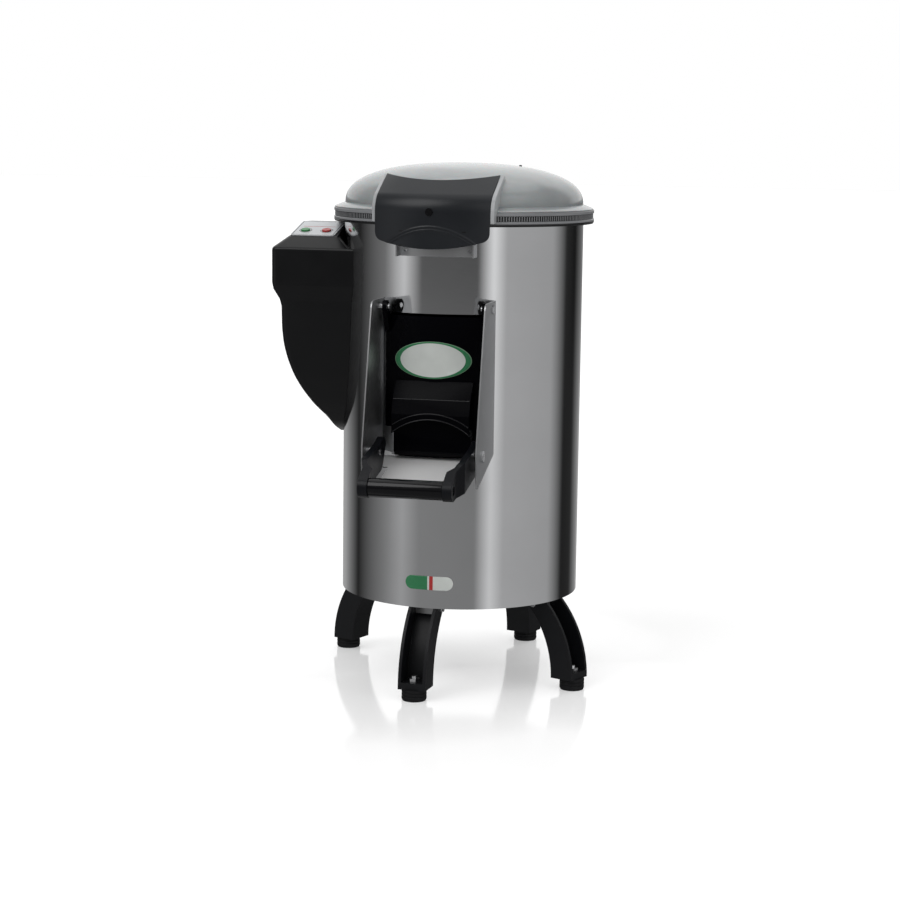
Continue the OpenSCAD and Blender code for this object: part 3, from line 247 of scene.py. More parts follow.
for name, toward, strength, spread in (("key_light", (0.45, 0.62, -0.80), 0.85, 38),
                                       ("fill_light", (-0.70, 0.55, -0.55), 0.35, 50),
                                       ("top_light", (-0.05, -0.25, -1.0), 0.55, 60)):
    lamp = bpy.data.lights.new(name, "SUN")
    lamp.energy = strength
    lamp.angle = math.radians(spread)
    lamp_object = bpy.data.objects.new(name, lamp)
    lamp_object.rotation_euler = Vector(toward).to_track_quat("-Z", "Y").to_euler()
    scene.collection.objects.link(lamp_object)

# ---- Body shell --------------------------------------------------------------
# One rolled and welded drum of stainless sheet, brushed around its girth, with
# its upper edge folded in. The brushing is fine, so it blurs what it reflects.

NOISE_SPAN = (0.3, 0.7)  # most of a noise lies between these


def surface_group(name, pattern, kind):
    """Empty node group of a finish, with an input of its own for its pattern, and its ends."""
    group = bpy.data.node_groups.new(name, "ShaderNodeTree")
    for label, sort in (("Colour", "Color"), (pattern, kind), ("Rough Low", "Float"),
                        ("Rough High", "Float"), ("Bump", "Float")):
        group.interface.new_socket(label, in_out="INPUT", socket_type="NodeSocket" + sort)
    for label, sort in (("Colour", "Color"), ("Roughness", "Float"), ("Normal", "Vector")):
        group.interface.new_socket(label, in_out="OUTPUT", socket_type="NodeSocket" + sort)
    return group, group.nodes.new("NodeGroupInput"), group.nodes.new("NodeGroupOutput")


def noise(tree, place, scale, detail):
    """Noise texture at a place; the scale is a number or a socket."""
    node = tree.nodes.new("ShaderNodeTexNoise")
    node.inputs["Detail"].default_value = detail
    feed(tree, scale, node.inputs["Scale"])
    tree.links.new(place, node.inputs["Vector"])
    return node.outputs["Fac"]


def feed_outputs(group, put, out, shade, rough, height, depth):
    """A finish's outputs: colour times shade, roughness, and the normal of a height in metres."""
    tint = group.nodes.new("ShaderNodeVectorMath")
    tint.operation = "SCALE"
    group.links.new(put.outputs["Colour"], tint.inputs[0])
    group.links.new(shade, tint.inputs["Scale"])
    raised = group.nodes.new("ShaderNodeBump")
    raised.inputs["Distance"].default_value = depth
    group.links.new(put.outputs["Bump"], raised.inputs["Strength"])
    group.links.new(height, raised.inputs["Height"])
    group.links.new(tint.outputs[0], out.inputs["Colour"])
    group.links.new(rough, out.inputs["Roughness"])
    group.links.new(raised.outputs[0], out.inputs["Normal"])


def brushed_group():
    """Grain lines: a noise on object coordinates times Scale. Roughness and height follow the
    lines, and the colour follows half of them and a slow noise, by a few percent."""
    group, put, out = surface_group("brushed_surface", "Scale", "Vector")
    here = group.nodes.new("ShaderNodeTexCoord").outputs["Object"]
    stretch = group.nodes.new("ShaderNodeVectorMath")
    stretch.operation = "MULTIPLY"
    group.links.new(here, stretch.inputs[0])
    group.links.new(put.outputs["Scale"], stretch.inputs[1])
    lines = noise(group, stretch.outputs[0], scale=1.0, detail=4.0)
    slow = noise(group, here, scale=7.0, detail=3.0)
    both = scalar(group, "MULTIPLY_ADD", lines, 0.5, slow)
    shade = ranged(group, both, low=0.45, high=1.05, start=0.95, end=1.04)
    rough = ranged(group, lines, *NOISE_SPAN, put.outputs["Rough Low"], put.outputs["Rough High"])
    feed_outputs(group, put, out, shade, rough, lines, depth=0.0004)
    return group


BRUSHED_SURFACE = brushed_group()


def finish_with(name, group, values):
    """Material whose Principled shader takes colour, roughness and normal from a finish."""
    material = bpy.data.materials.new(name)
    material.use_nodes = True
    tree = material.node_tree
    look = tree.nodes["Principled BSDF"]
    finish = tree.nodes.new("ShaderNodeGroup")
    finish.node_tree = group
    for label, value in values.items():
        finish.inputs[label].default_value = value
    for label, target in (("Colour", "Base Color"), ("Roughness", "Roughness"),
                          ("Normal", "Normal")):
        tree.links.new(finish.outputs[label], look.inputs[target])
    return material, look


def brushed_metal(name, colour, rough, scale, bump=0.02, metallic=1.0):
    """Metal with grain lines along the axis whose scale is smallest."""
    material, look = finish_with(name, BRUSHED_SURFACE, {
        "Colour": (*colour, 1), "Scale": scale, "Rough Low": rough[0], "Rough High": rough[1],
        "Bump": bump})
    look.inputs["Metallic"].default_value = metallic
    return material


def dress(material, *names):
    """Puts a material on carried-over CAD nodes."""
    for name in names:
        mesh = nodes[name].data
        mesh.materials.clear()
        mesh.materials.append(material)


SHELL_STEEL = brushed_metal("shell_steel", (0.64, 0.645, 0.655), (0.07, 0.11), (50, 50, 2600),
                            bump=0.012)
dress(SHELL_STEEL, "body_shell")

# ---- Base, chamber and disc --------------------------------------------------
# Punched steel plates close the drum below. Above them turns an aluminium disc
# with a coat of bonded grit, inside a wall lined with abrasive sheet.

INNER_STEEL = brushed_metal("inner_steel", (0.50, 0.505, 0.51), (0.34, 0.46), (60, 60, 900))
DISC_METAL = brushed_metal("disc_metal", (0.66, 0.67, 0.68), (0.28, 0.40), (300, 300, 300))
dress(INNER_STEEL, "base_plate", "chamber_floor", "motor_bracket", "bracket_posts",
      "water_inlet", "drain_pipe")
dress(DISC_METAL, "disc_plate", "disc_knob")


def moulded_group():
    """Spark grain: a fine noise is the height, and a slow one shifts the colour by about a
    tenth and moves the roughness between its two ends."""
    group, put, out = surface_group("moulded_surface", "Grain", "Float")
    here = group.nodes.new("ShaderNodeTexCoord").outputs["Object"]
    fine = noise(group, here, put.outputs["Grain"], detail=3.0)
    slow = noise(group, here, scale=14.0, detail=5.0)
    shade = ranged(group, slow, *NOISE_SPAN, start=0.88, end=1.10)
    rough = ranged(group, slow, *NOISE_SPAN, put.outputs["Rough Low"], put.outputs["Rough High"])
    feed_outputs(group, put, out, shade, rough, fine, depth=0.0005)
    return group


MOULDED_SURFACE = moulded_group()


def moulded(name, colour, rough, grain=900.0, bump=0.06, specular=0.5):
    """Plastic, rubber or paint with a moulded grain."""
    material, look = finish_with(name, MOULDED_SURFACE, {
        "Colour": (*colour, 1), "Grain": grain, "Rough Low": rough[0], "Rough High": rough[1],
        "Bump": bump})
    look.inputs["Specular IOR Level"].default_value = specular
    return material


GRIT = moulded("grit", (0.10, 0.092, 0.085), (0.8, 0.95), grain=420.0, bump=0.9, specular=0.3)
dress(GRIT, "grit_coat", "chamber_liner")

# ---- Drive -------------------------------------------------------------------
# A foot-mounted motor with its fan hangs on four posts and drives the shaft by a
# ribbed belt. Castings, ground shafts, zinc-plated bolts and enamelled sheet.

TURNED_STEEL = brushed_metal("turned_steel", (0.68, 0.68, 0.69), (0.16, 0.24), (90, 90, 3000))
FASTENER_ZINC = brushed_metal("fastener_zinc", (0.74, 0.745, 0.76), (0.20, 0.30),
                              (700, 700, 700))
CAST_IRON = brushed_metal("cast_iron", (0.30, 0.31, 0.32), (0.44, 0.58), (420, 420, 420),
                          bump=0.3)
MOTOR_PAINT = moulded("motor_paint", (0.055, 0.078, 0.098), (0.3, 0.4), grain=300.0, bump=0.12)
BELT_RUBBER = moulded("belt_rubber", (0.020, 0.020, 0.021), (0.6, 0.75), grain=260.0, bump=0.3)
SEAL_RUBBER = moulded("seal_rubber", (0.016, 0.016, 0.017), (0.60, 0.72), specular=0.3)
BLOCK_PLASTIC = moulded("block_plastic", (0.03, 0.03, 0.03), (0.45, 0.55))
dress(TURNED_STEEL, "drive_shaft", "motor_shaft", "shaft_bearings")
dress(FASTENER_ZINC, "housing_bolts", "shaft_nut", "motor_bolts")
dress(CAST_IRON, "bearing_housing", "driven_pulley", "motor_pulley")
dress(MOTOR_PAINT, "motor_housing", "terminal_box", "fan_cover")
dress(BELT_RUBBER, "drive_belt")
dress(SEAL_RUBBER, "shaft_seal")
dress(BLOCK_PLASTIC, "cooling_fan")

# ---- Legs --------------------------------------------------------------------
# Four moulded channel legs of charcoal nylon, open on their outer side and with
# rounded edges. Each is held under the base by a bolt.

LEG_ROUND = 1.6
BOLT_ROUND = 0.4
SHARP = 35.0  # degrees; an edge that turns more stays an edge


def placed(name, mesh, material, body, slot, *stands_for):
    """Links a finished mesh with its material and tells the frame what carries it."""
    mesh.materials.clear()
    mesh.materials.append(material)
    piece = bpy.data.objects.new(name, mesh)
    scene.collection.objects.link(piece)
    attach(piece, body)
    if stands_for:
        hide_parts(*stands_for)
    return piece


def rounded_edges(piece, width, segments, degrees):
    """Bevel of a width in millimetres on each edge that turns more than the degrees."""
    edge = piece.modifiers.new("edge", "BEVEL")
    edge.width = width * MM
    edge.segments = segments
    edge.limit_method = "ANGLE"
    edge.angle_limit = math.radians(degrees)
    return edge


def softened(name, node, width, material, body, slot, segments=2, sharp=SHARP):
    """Copy of a CAD node whose loose triangles are merged and whose edges are rounded."""
    same_point, same_plane = 2e-6, math.radians(0.6)
    mesh = nodes[node].data.copy()
    work = bmesh.new()
    work.from_mesh(mesh)
    bmesh.ops.remove_doubles(work, verts=work.verts, dist=same_point)
    bmesh.ops.dissolve_limit(work, angle_limit=same_plane, verts=work.verts, edges=work.edges)
    for face in work.faces:
        face.smooth = True
    work.to_mesh(mesh)
    work.free()
    mesh.set_sharp_from_angle(angle=math.radians(sharp))
    piece = placed(name, mesh, material, body, slot, node)
    rounded_edges(piece, width, segments, sharp).harden_normals = True
    return piece


LEG_PLASTIC = moulded("leg_plastic", (0.006, 0.0064, 0.008), (0.40, 0.52), specular=0.28)
for side in ("front", "right", "rear", "left"):
    softened(side + "_leg_moulding", side + "_leg", LEG_ROUND, LEG_PLASTIC, "root",
             "leg_plastic", segments=3)
softened("leg_cross_bolts", "leg_bolts", BOLT_ROUND, FASTENER_ZINC, "root", "fasteners")

# ---- Foot pads ---------------------------------------------------------------
# Black rubber discs with two shallow grooves and a rounded rim, each screwed on
# a zinc-plated stud so that its height can be set, and locked with a nut.

PAD_R = 20.0
PAD_H = 18.0
PAD_ROUND = 0.8
PAD_HOLLOW = 0.8
GROOVES = (8.0, 13.0)
GROOVE_HALF = 1.0
GROOVE_DEPTH = 1.2


def filleted(corners, radius, steps=4):
    """Polyline with rounded corners: at each one the cut reaches radius * tan(turn / 2) back
    along both sides, and a quadratic curve between the two cuts replaces the corner."""
    points = np.asarray(corners, float)
    before, at, after = points[:-2], points[1:-1], points[2:]
    into, away = at - before, after - at
    long_in = np.linalg.norm(into, axis=1, keepdims=True)
    long_out = np.linalg.norm(away, axis=1, keepdims=True)
    into, away = into / long_in, away / long_out
    turn = np.arccos(np.clip((into * away).sum(1, keepdims=True), -1, 1))
    cut = np.minimum(radius * np.tan(turn / 2), 0.45 * np.minimum(long_in, long_out))
    t = np.linspace(0, 1, steps + 1)[None, :, None]
    first, last = (at - into * cut)[:, None], (at + away * cut)[:, None]
    curve = (1 - t) ** 2 * first + 2 * t * (1 - t) * at[:, None] + t ** 2 * last
    return np.concatenate([points[:1], curve.reshape(-1, 2), points[-1:]])


def surface(name, grid, round_rows=False, round_columns=True, caps=False, sharp=SHARP):
    """Mesh over a rows x columns grid of points in millimetres: one quad between four
    neighbours, closed round in either direction, with flat end faces where asked. Doubles are
    merged and the faces turned outwards."""
    same_point = 1e-6
    rows, columns = grid.shape[:2]
    row = np.arange(rows if round_rows else rows - 1)[:, None]
    column = np.arange(columns if round_columns else columns - 1)[None, :]
    next_row, next_column = (row + 1) % rows, (column + 1) % columns
    quads = np.stack([row * columns + column, row * columns + next_column,
                      next_row * columns + next_column, next_row * columns + column], -1)
    faces = quads.reshape(-1, 4).tolist()
    if caps:
        faces += [list(range(columns)), list(range((rows - 1) * columns, rows * columns))]
    mesh = bpy.data.meshes.new(name)
    mesh.from_pydata((grid * MM).reshape(-1, 3).tolist(), [], faces)
    work = bmesh.new()
    work.from_mesh(mesh)
    bmesh.ops.remove_doubles(work, verts=work.verts, dist=same_point)
    bmesh.ops.recalc_face_normals(work, faces=work.faces)
    for face in work.faces:
        face.smooth = True
    work.to_mesh(mesh)
    work.free()
    mesh.set_sharp_from_angle(angle=math.radians(sharp))
    return mesh


def lathed(profile, turns=96):
    """Grid of a profile (radius, height) turned about Z: x = r cos t, y = r sin t."""
    t = np.linspace(0, 2 * math.pi, turns, endpoint=False)
    r, z = profile[:, :1], profile[:, 1:]
    return np.stack([r * np.cos(t), r * np.sin(t), np.broadcast_to(z, (len(profile), turns))],
                    -1)


def joined(name, meshes):
    """One mesh from several."""
    work = bmesh.new()
    for mesh in meshes:
        work.from_mesh(mesh)
    whole = bpy.data.meshes.new(name)
    work.to_mesh(whole)
    work.free()
    whole.set_sharp_from_angle(angle=math.radians(SHARP))
    return whole


grooved_side = [point for z in GROOVES for point in (
    (PAD_R, z - GROOVE_HALF), (PAD_R - GROOVE_DEPTH, z), (PAD_R, z + GROOVE_HALF))]
pad_outline = filleted([(0, PAD_HOLLOW), (PAD_R - 5, PAD_HOLLOW), (PAD_R - 4, 0),
                        (PAD_R - 1.5, 0), (PAD_R, 3), *grooved_side, (PAD_R, PAD_H),
                        (0, PAD_H)], PAD_ROUND, 3)
pad_meshes = [surface("pad", lathed(pad_outline, 72) + foot_place(degrees))
              for degrees in LEG_TURNS]
PAD_RUBBER = moulded("pad_rubber", (0.007, 0.007, 0.008), (0.55, 0.70), specular=0.25)
placed("rubber_feet", joined("rubber_feet", pad_meshes), PAD_RUBBER, "root", "pad_rubber",
       "foot_pads")
dress(FASTENER_ZINC, "foot_studs", "foot_nuts")

# ---- Discharge chute ---------------------------------------------------------
# Two cheeks of bright sheet, bolted through, with a folded tray between them.
# Their cut edges are deburred, so each shows a thin light line.

SHEET_ROUND = 0.5
CHUTE_BOLT_ROUND = 0.6
SHEET_STEEL = brushed_metal("sheet_steel", (0.56, 0.565, 0.575), (0.36, 0.44),
                            (1200, 1200, 50), bump=0.008)
TRAY_STEEL = brushed_metal("tray_steel", (0.90, 0.90, 0.90), (0.48, 0.58), (1800, 60, 60),
                           metallic=0.2)
softened("chute_side_sheets", "chute_cheeks", SHEET_ROUND, SHEET_STEEL, "root", "sheet_steel")
softened("chute_slide", "chute_tray", SHEET_ROUND, TRAY_STEEL, "root", "tray_steel")
softened("chute_cross_bolts", "chute_bolts", CHUTE_BOLT_ROUND, FASTENER_ZINC, "root",
         "fasteners")

# ---- Door --------------------------------------------------------------------
# A gloss black moulding that bends with the drum, with a finger pocket under an
# arch and thin beads along the pocket's top and its arch. It hangs on two lugs
# at its top and closes on a rubber seal.

DOOR_ROUND = 0.9
POCKET_HALF = 61.0
POCKET_RISE = (415.0, 455.0, 478.0)
POCKET_REACH = (226.0, 228.0, 220.0)
ARCH_FOOT = 351.0
ARCH_RADII = (97.0, 106.0)
BEAD_R = 0.9


def bead(name, path, radius):
    """Round bead along a path: x = path x, y = path y + r cos t, z = path z + r sin t."""
    t = np.linspace(0, 2 * math.pi, 12, endpoint=False)[None, :]
    ring = np.stack([0 * t, radius * np.cos(t), radius * np.sin(t)], -1)
    return surface(name, path[:, None, :] + ring, caps=True)


DOOR_PLASTIC = moulded("door_plastic", (0.0012, 0.0012, 0.0022), (0.22, 0.30), bump=0.01,
                       specular=0.05)
softened("door_moulding", "door_panel", DOOR_ROUND, DOOR_PLASTIC, "door", "door_plastic",
         segments=3, sharp=12)
bead_x = np.linspace(-POCKET_HALF, POCKET_HALF, 61)
bead_rises = [0 * bead_x + POCKET_RISE[-1]]
bead_rises += [ARCH_FOOT + np.sqrt(radius ** 2 - bead_x ** 2) for radius in ARCH_RADII]
bead_paths = [np.stack([bead_x, -np.interp(rises, POCKET_RISE, POCKET_REACH), rises], -1)
              for rises in bead_rises]
BEAD_PLASTIC = moulded("bead_plastic", (0.004, 0.004, 0.006), (0.20, 0.28), bump=0.01)
placed("door_beads", joined("door_beads", [bead("bead", path, BEAD_R) for path in bead_paths]),
       BEAD_PLASTIC, "door", "door_plastic")
dress(SEAL_RUBBER, "door_seal")

# ---- Lever -------------------------------------------------------------------
# Two curved arms of dark nylon swing outside the tray on the pivot bolts. A gloss
# tube between their bosses is the grip, held by a sunk screw at each end.

ARM_ROUND = 2.4
BAR_REACH = 376.0
BAR_Z = 363.0
BAR_R = 14.5
BAR_HALF = 57.5
BAR_ROUND = 1.4

LEVER_PLASTIC = moulded("lever_plastic", (0.0035, 0.004, 0.006), (0.32, 0.44), bump=0.12,
                        specular=0.26)
GRIP_PLASTIC = moulded("grip_plastic", (0.0014, 0.0014, 0.0022), (0.10, 0.15), bump=0.01,
                       specular=0.34)
DARK_SCREW = brushed_metal("dark_screw", (0.035, 0.035, 0.038), (0.22, 0.30), (700, 700, 700))
softened("lever_arm_mouldings", "lever_arms", ARM_ROUND, LEVER_PLASTIC, "lever",
         "lever_plastic", segments=3)
dress(DARK_SCREW, "grip_screws")
bar_outline = filleted([(0, -BAR_HALF), (BAR_R, -BAR_HALF), (BAR_R, BAR_HALF), (0, BAR_HALF)],
                       BAR_ROUND, 4)
# The tube is turned about Z, and its axes are swapped so that it lies along X.
bar_grid = lathed(bar_outline, 96)[:, :, [2, 0, 1]] + np.array([0, -BAR_REACH, BAR_Z])
placed("grip_tube", surface("grip_tube", bar_grid), GRIP_PLASTIC, "lever", "grip_plastic",
       "grip_bar")

# ---- Lid rim -----------------------------------------------------------------
# A satin grey ring around the drum's upper edge. A black sunk band with fine
# upright ribs runs round it, and a rubber lip under it closes on the drum.

RIM_R = 212.0
RIM_IN = 198.0
RIM_Z = 748.0
RIM_TOP = RIM_Z + 20
RIM_WALL = 3.0
RIM_ROUND = 0.9
BAND_LOW = RIM_Z + 6.6
BAND_HIGH = RIM_Z + 14.4
BAND_SLOPE = 0.6
BAND_DEPTH = 2.6
RIB_COUNT = 300
RIB_RISE = 1.3
BLACK_R = RIM_R - 1.6  # the band is black inside this reach
BLACK_BAND = (RIM_Z + 6.5, RIM_Z + 14.6)
LIP_LINE_AND_SHADE_TOP = RIM_Z + 2.6  # the rim is painted black below this: the lip's black line carried up, and painted shade under the rim
LIP_IN = RIM_IN + 4
LIP_OUT = RIM_R - 0.8
LIP_LOW = RIM_Z - 1.7
LIP_TOP = RIM_Z - 0.1

rim_outline = filleted([
    (RIM_IN + RIM_WALL, RIM_TOP - RIM_WALL), (RIM_IN + RIM_WALL, RIM_Z), (RIM_R, RIM_Z),
    (RIM_R, BAND_LOW - BAND_SLOPE), (RIM_R - BAND_DEPTH, BAND_LOW),
    (RIM_R - BAND_DEPTH, BAND_HIGH), (RIM_R, BAND_HIGH + BAND_SLOPE),
    (RIM_R, RIM_TOP), (RIM_IN, RIM_TOP), (RIM_IN, RIM_TOP - RIM_WALL)], RIM_ROUND, 3)
# The band's points step out and in again along the girth, four to a rib.
rim_grid = lathed(rim_outline, RIB_COUNT * 4)
rib = np.tile(np.array([0, 1, 1, 0]), RIB_COUNT)
outline_r, outline_z = rim_outline[:, :1], rim_outline[:, 1:]
in_band = ((outline_z > BAND_LOW + 0.1) & (outline_z < BAND_HIGH - 0.1)
           & (outline_r > RIM_R - BAND_DEPTH - 1))
rim_grid[:, :, :2] *= (1 + in_band * rib[None, :] * RIB_RISE / RIM_R)[:, :, None]


def painted(material, mask, colour):
    """Lays a flat colour over a material's base colour where the mask is 1."""
    tree = material.node_tree
    base = tree.nodes["Principled BSDF"].inputs["Base Color"]
    mix = tree.nodes.new("ShaderNodeMix")
    mix.data_type = "RGBA"
    tree.links.new(mask, mix.inputs["Factor"])
    tree.links.new(base.links[0].from_socket, mix.inputs["A"])
    mix.inputs["B"].default_value = (*colour, 1)
    tree.links.new(mix.outputs["Result"], base)


def object_axes(tree):
    """Object coordinates, one socket per axis."""
    here = tree.nodes.new("ShaderNodeTexCoord")
    axes = tree.nodes.new("ShaderNodeSeparateXYZ")
    tree.links.new(here.outputs["Object"], axes.inputs[0])
    return axes.outputs["X"], axes.outputs["Y"], axes.outputs["Z"]


def reach_of(tree, a, b):
    """sqrt(a^2 + b^2) of two sockets."""
    return scalar(tree, "SQRT", scalar(tree, "ADD", scalar(tree, "MULTIPLY", a, a),
                                       scalar(tree, "MULTIPLY", b, b)))


def between(tree, value, low, high):
    """1 where the value lies between two limits in millimetres."""
    return scalar(tree, "MULTIPLY", scalar(tree, "GREATER_THAN", value, low * MM),
                  scalar(tree, "LESS_THAN", value, high * MM))


RIM_PLASTIC = moulded("rim_plastic", (0.23, 0.235, 0.245), (0.20, 0.28), bump=0.02)
tree = RIM_PLASTIC.node_tree
axis_x, axis_y, axis_z = object_axes(tree)
inside = scalar(tree, "LESS_THAN", reach_of(tree, axis_x, axis_y), BLACK_R * MM)
sunk = scalar(tree, "MULTIPLY", inside, between(tree, axis_z, *BLACK_BAND))
lip_line_and_shade = scalar(tree, "LESS_THAN", axis_z, LIP_LINE_AND_SHADE_TOP * MM)
# The sunk band is painted black, and the rim's foot black too: partly the black lip's line,
# partly painted shade under the rim.
painted(RIM_PLASTIC, scalar(tree, "MAXIMUM", sunk, lip_line_and_shade), (0.012, 0.012, 0.013))
placed("rim_ring", surface("rim_ring", rim_grid, round_rows=True), RIM_PLASTIC, "lid",
       "rim_plastic", "lid_rim")

lip_outline = filleted([(LIP_IN, LIP_TOP), (LIP_IN, LIP_LOW), (LIP_OUT, LIP_LOW),
                        (LIP_OUT, LIP_TOP), (LIP_IN + 0.2, LIP_TOP)], 0.5, 3)
placed("rim_seal_lip", surface("rim_seal_lip", lathed(lip_outline, 240), round_rows=True),
       SEAL_RUBBER, "lid", "seal_rubber")
dress(SEAL_RUBBER, "lid_gasket")

# ---- Lid dome ----------------------------------------------------------------
# A pressed dome of translucent grey plastic, three millimetres thick, with a
# flat flange that rests on the rim. Light passes a little into it. Its crown is
# painted paler, a painted highlight where the top light falls, and its shoulder
# is painted darker as painted shade.

DOME_R = 194.0
DOME_RISE = 65.0
DOME_T = 3.0
DOME_FOOT = 776.0
DOME_POWER = 2 / 2.37
DOME_GLOW = 0.2
DOME_GLOW_DEPTH = 6.0
FLANGE_IN = RIM_IN - 6
FLANGE_OUT = RIM_R - 1.5
FLANGE_Z = (RIM_TOP + 0.1, RIM_TOP + 2)
CROWN_HIGHLIGHT = (120.0, 85.0)      # reach where the painted crown highlight begins and where it is full
SHOULDER_SHADE = (174.0, 186.0)  # reach where the painted shoulder shade begins and where it is full
SHOULDER_SHADE_SHARE = 0.15


def dome_curve(radius, height):
    """Profile of a dome from its foot to its crown: radius * cos(t)^p, height * sin(t)^p."""
    t = np.radians(np.concatenate([[0], np.linspace(1, 90, 60)]))
    return np.stack([radius * np.cos(t).clip(0) ** DOME_POWER,
                     DOME_FOOT + height * np.sin(t) ** DOME_POWER], -1)


flange = filleted([(DOME_R - DOME_T, DOME_FOOT), (FLANGE_IN, FLANGE_Z[0]),
                   (FLANGE_OUT, FLANGE_Z[0]), (FLANGE_OUT, FLANGE_Z[1]),
                   (DOME_R + 4, DOME_FOOT - 1), (DOME_R, DOME_FOOT)], 1.0, 4)
dome_outline = np.concatenate([dome_curve(DOME_R - DOME_T, DOME_RISE - DOME_T)[::-1],
                               flange[1:-1], dome_curve(DOME_R, DOME_RISE)])
DOME_PLASTIC = moulded("dome_plastic", (0.36, 0.38, 0.385), (0.10, 0.15), bump=0.01)
tree = DOME_PLASTIC.node_tree
axis_x, axis_y, axis_z = object_axes(tree)
reach_here = reach_of(tree, axis_x, axis_y)
# Painted light: a paler crown as a painted highlight, and a darker shoulder as painted shade.
painted(DOME_PLASTIC, stepped(tree, reach_here, CROWN_HIGHLIGHT[0] * MM, CROWN_HIGHLIGHT[1] * MM),
        (0.44, 0.46, 0.465))
painted(DOME_PLASTIC, stepped(tree, reach_here, SHOULDER_SHADE[0] * MM, SHOULDER_SHADE[1] * MM,
                              end=SHOULDER_SHADE_SHARE), (0.10, 0.11, 0.115))
dome_look = tree.nodes["Principled BSDF"]
dome_look.inputs["Subsurface Weight"].default_value = DOME_GLOW
dome_look.inputs["Subsurface Scale"].default_value = DOME_GLOW_DEPTH * MM
placed("dome_shell", surface("dome_shell", lathed(dome_outline, 240)), DOME_PLASTIC, "lid",
       "dome_plastic", "lid_dome")

# ---- Lid handle --------------------------------------------------------------
# One satin charcoal moulding that drops in front of the rim and bends back over
# it onto the dome. A double ridge arches across its front under the screw, with
# two short slots on each side that are only painted: dark patches of painted
# shade where their openings would be.

HANDLE_HALF = 91.5
HANDLE_REACH = 229.0
HANDLE_LOW = 712.0
HANDLE_EDGE = 817.0
HANDLE_T = 4.0
HANDLE_TURN = math.radians(-1.2)
HANDLE_ROUND = 1.3
HANDLE_SHARP = 60.0
LOW_EDGE_R = 300.0
HIGH_EDGE_R = 520.0
CORNER_R = 14.0
PATH_FOOT = HANDLE_LOW - 10
BEND_Z = 768.0
BEND_R = 34.0
BEND_TURN = 58.0
ON_DOME = ((170.0, 823.6), (158.0, 831.0))
RIDGE_TOP = 746.5
RIDGE_HALF = 73.0
RIDGE_DROP = 28.0
RIDGE_H = 1.2
RIDGE_W = 1.2
RIDGE_GAP = 5.0
RIDGE_END = RIDGE_HALF + 8
RIDGE_FADE = 6.0
STEP_DEPTH = 0.6
STEP_WIDTH = 0.6
# Places of the slots, each painted dark as the painted shade of an opening.
SLOT_SHADOWS = ((-51, 739), (49, 739), (-52, 717), (48, 717))
SLOT_SHADOW_HALF = (3.0, 0.9)


def front_y(radius, x):
    """y of the front of an upright cylinder about the axis, at x."""
    return -np.sqrt(radius ** 2 - x ** 2)


def turned(grid, angle):
    """Grid turned about Z: x cos a - y sin a, x sin a + y cos a."""
    x, y, z = np.moveaxis(grid, -1, 0)
    return np.stack([x * math.cos(angle) - y * math.sin(angle),
                     x * math.sin(angle) + y * math.cos(angle), z], -1)


# The lower edge is an arc with rounded corners, the upper one a flatter arc.
x = np.linspace(-HANDLE_HALF, HANDLE_HALF, 185)[None, :]
arc_z = HANDLE_LOW + LOW_EDGE_R
corner_x = HANDLE_HALF - CORNER_R
corner_z = arc_z - math.sqrt((LOW_EDGE_R - CORNER_R) ** 2 - corner_x ** 2)
touch_x = corner_x * LOW_EDGE_R / (LOW_EDGE_R - CORNER_R)
inset = np.clip(np.abs(x) - corner_x, 0, CORNER_R)
low_edge = np.where(np.abs(x) > touch_x, corner_z - np.sqrt(CORNER_R ** 2 - inset ** 2),
                    arc_z - np.sqrt(LOW_EDGE_R ** 2 - x ** 2))
high_edge = HANDLE_EDGE + HIGH_EDGE_R - np.sqrt(HIGH_EDGE_R ** 2 - x ** 2)
# Between them each column follows one path of reach and height: up, round the
# bend and onto the dome. The grid's rows are equal steps along it.
bend = np.radians(np.linspace(0, BEND_TURN, 16))
handle_path = np.concatenate([
    [[HANDLE_REACH, PATH_FOOT]],
    np.stack([HANDLE_REACH - BEND_R + BEND_R * np.cos(bend), BEND_Z + BEND_R * np.sin(bend)],
             -1),
    ON_DOME])
path_reach, path_z = handle_path.T
path_s = np.concatenate([[0], np.cumsum(np.linalg.norm(np.diff(handle_path, axis=0), axis=1))])
low_s = np.interp(low_edge, path_z, path_s)
high_s = np.interp(high_edge, path_z, path_s)
handle_s = low_s + np.linspace(0, 1, 130)[:, None] * (high_s - low_s)
handle_reach = np.interp(handle_s, path_s, path_reach)
handle_z = np.interp(handle_s, path_s, path_z)
# Two bell-shaped ridges follow a parabola, and the face steps in below them.
above = handle_z - (RIDGE_TOP - RIDGE_DROP * (x / RIDGE_HALF) ** 2)
above_second = above + RIDGE_GAP
ridge = (RIDGE_H * np.exp(-(above / RIDGE_W) ** 2)
         + RIDGE_H * np.exp(-(above_second / RIDGE_W) ** 2)
         - STEP_DEPTH / (1 + np.exp(above_second / STEP_WIDTH)))
handle_reach = handle_reach + ridge * np.clip((RIDGE_END - np.abs(x)) / RIDGE_FADE, 0, 1)
handle_grid = np.stack([np.broadcast_to(x, handle_z.shape), front_y(handle_reach, x),
                        handle_z], -1)
handle_mesh = surface("handle_moulding", turned(handle_grid, HANDLE_TURN),
                      round_columns=False, sharp=HANDLE_SHARP)
work = bmesh.new()
work.from_mesh(handle_mesh)
if sum(face.normal.y for face in work.faces) > 0:
    bmesh.ops.reverse_faces(work, faces=work.faces)
work.to_mesh(handle_mesh)
work.free()
HANDLE_PLASTIC = moulded("handle_plastic", (0.0125, 0.0145, 0.018), (0.30, 0.40),
                         specular=0.36)
tree = HANDLE_PLASTIC.node_tree
axis_x, axis_y, axis_z = object_axes(tree)
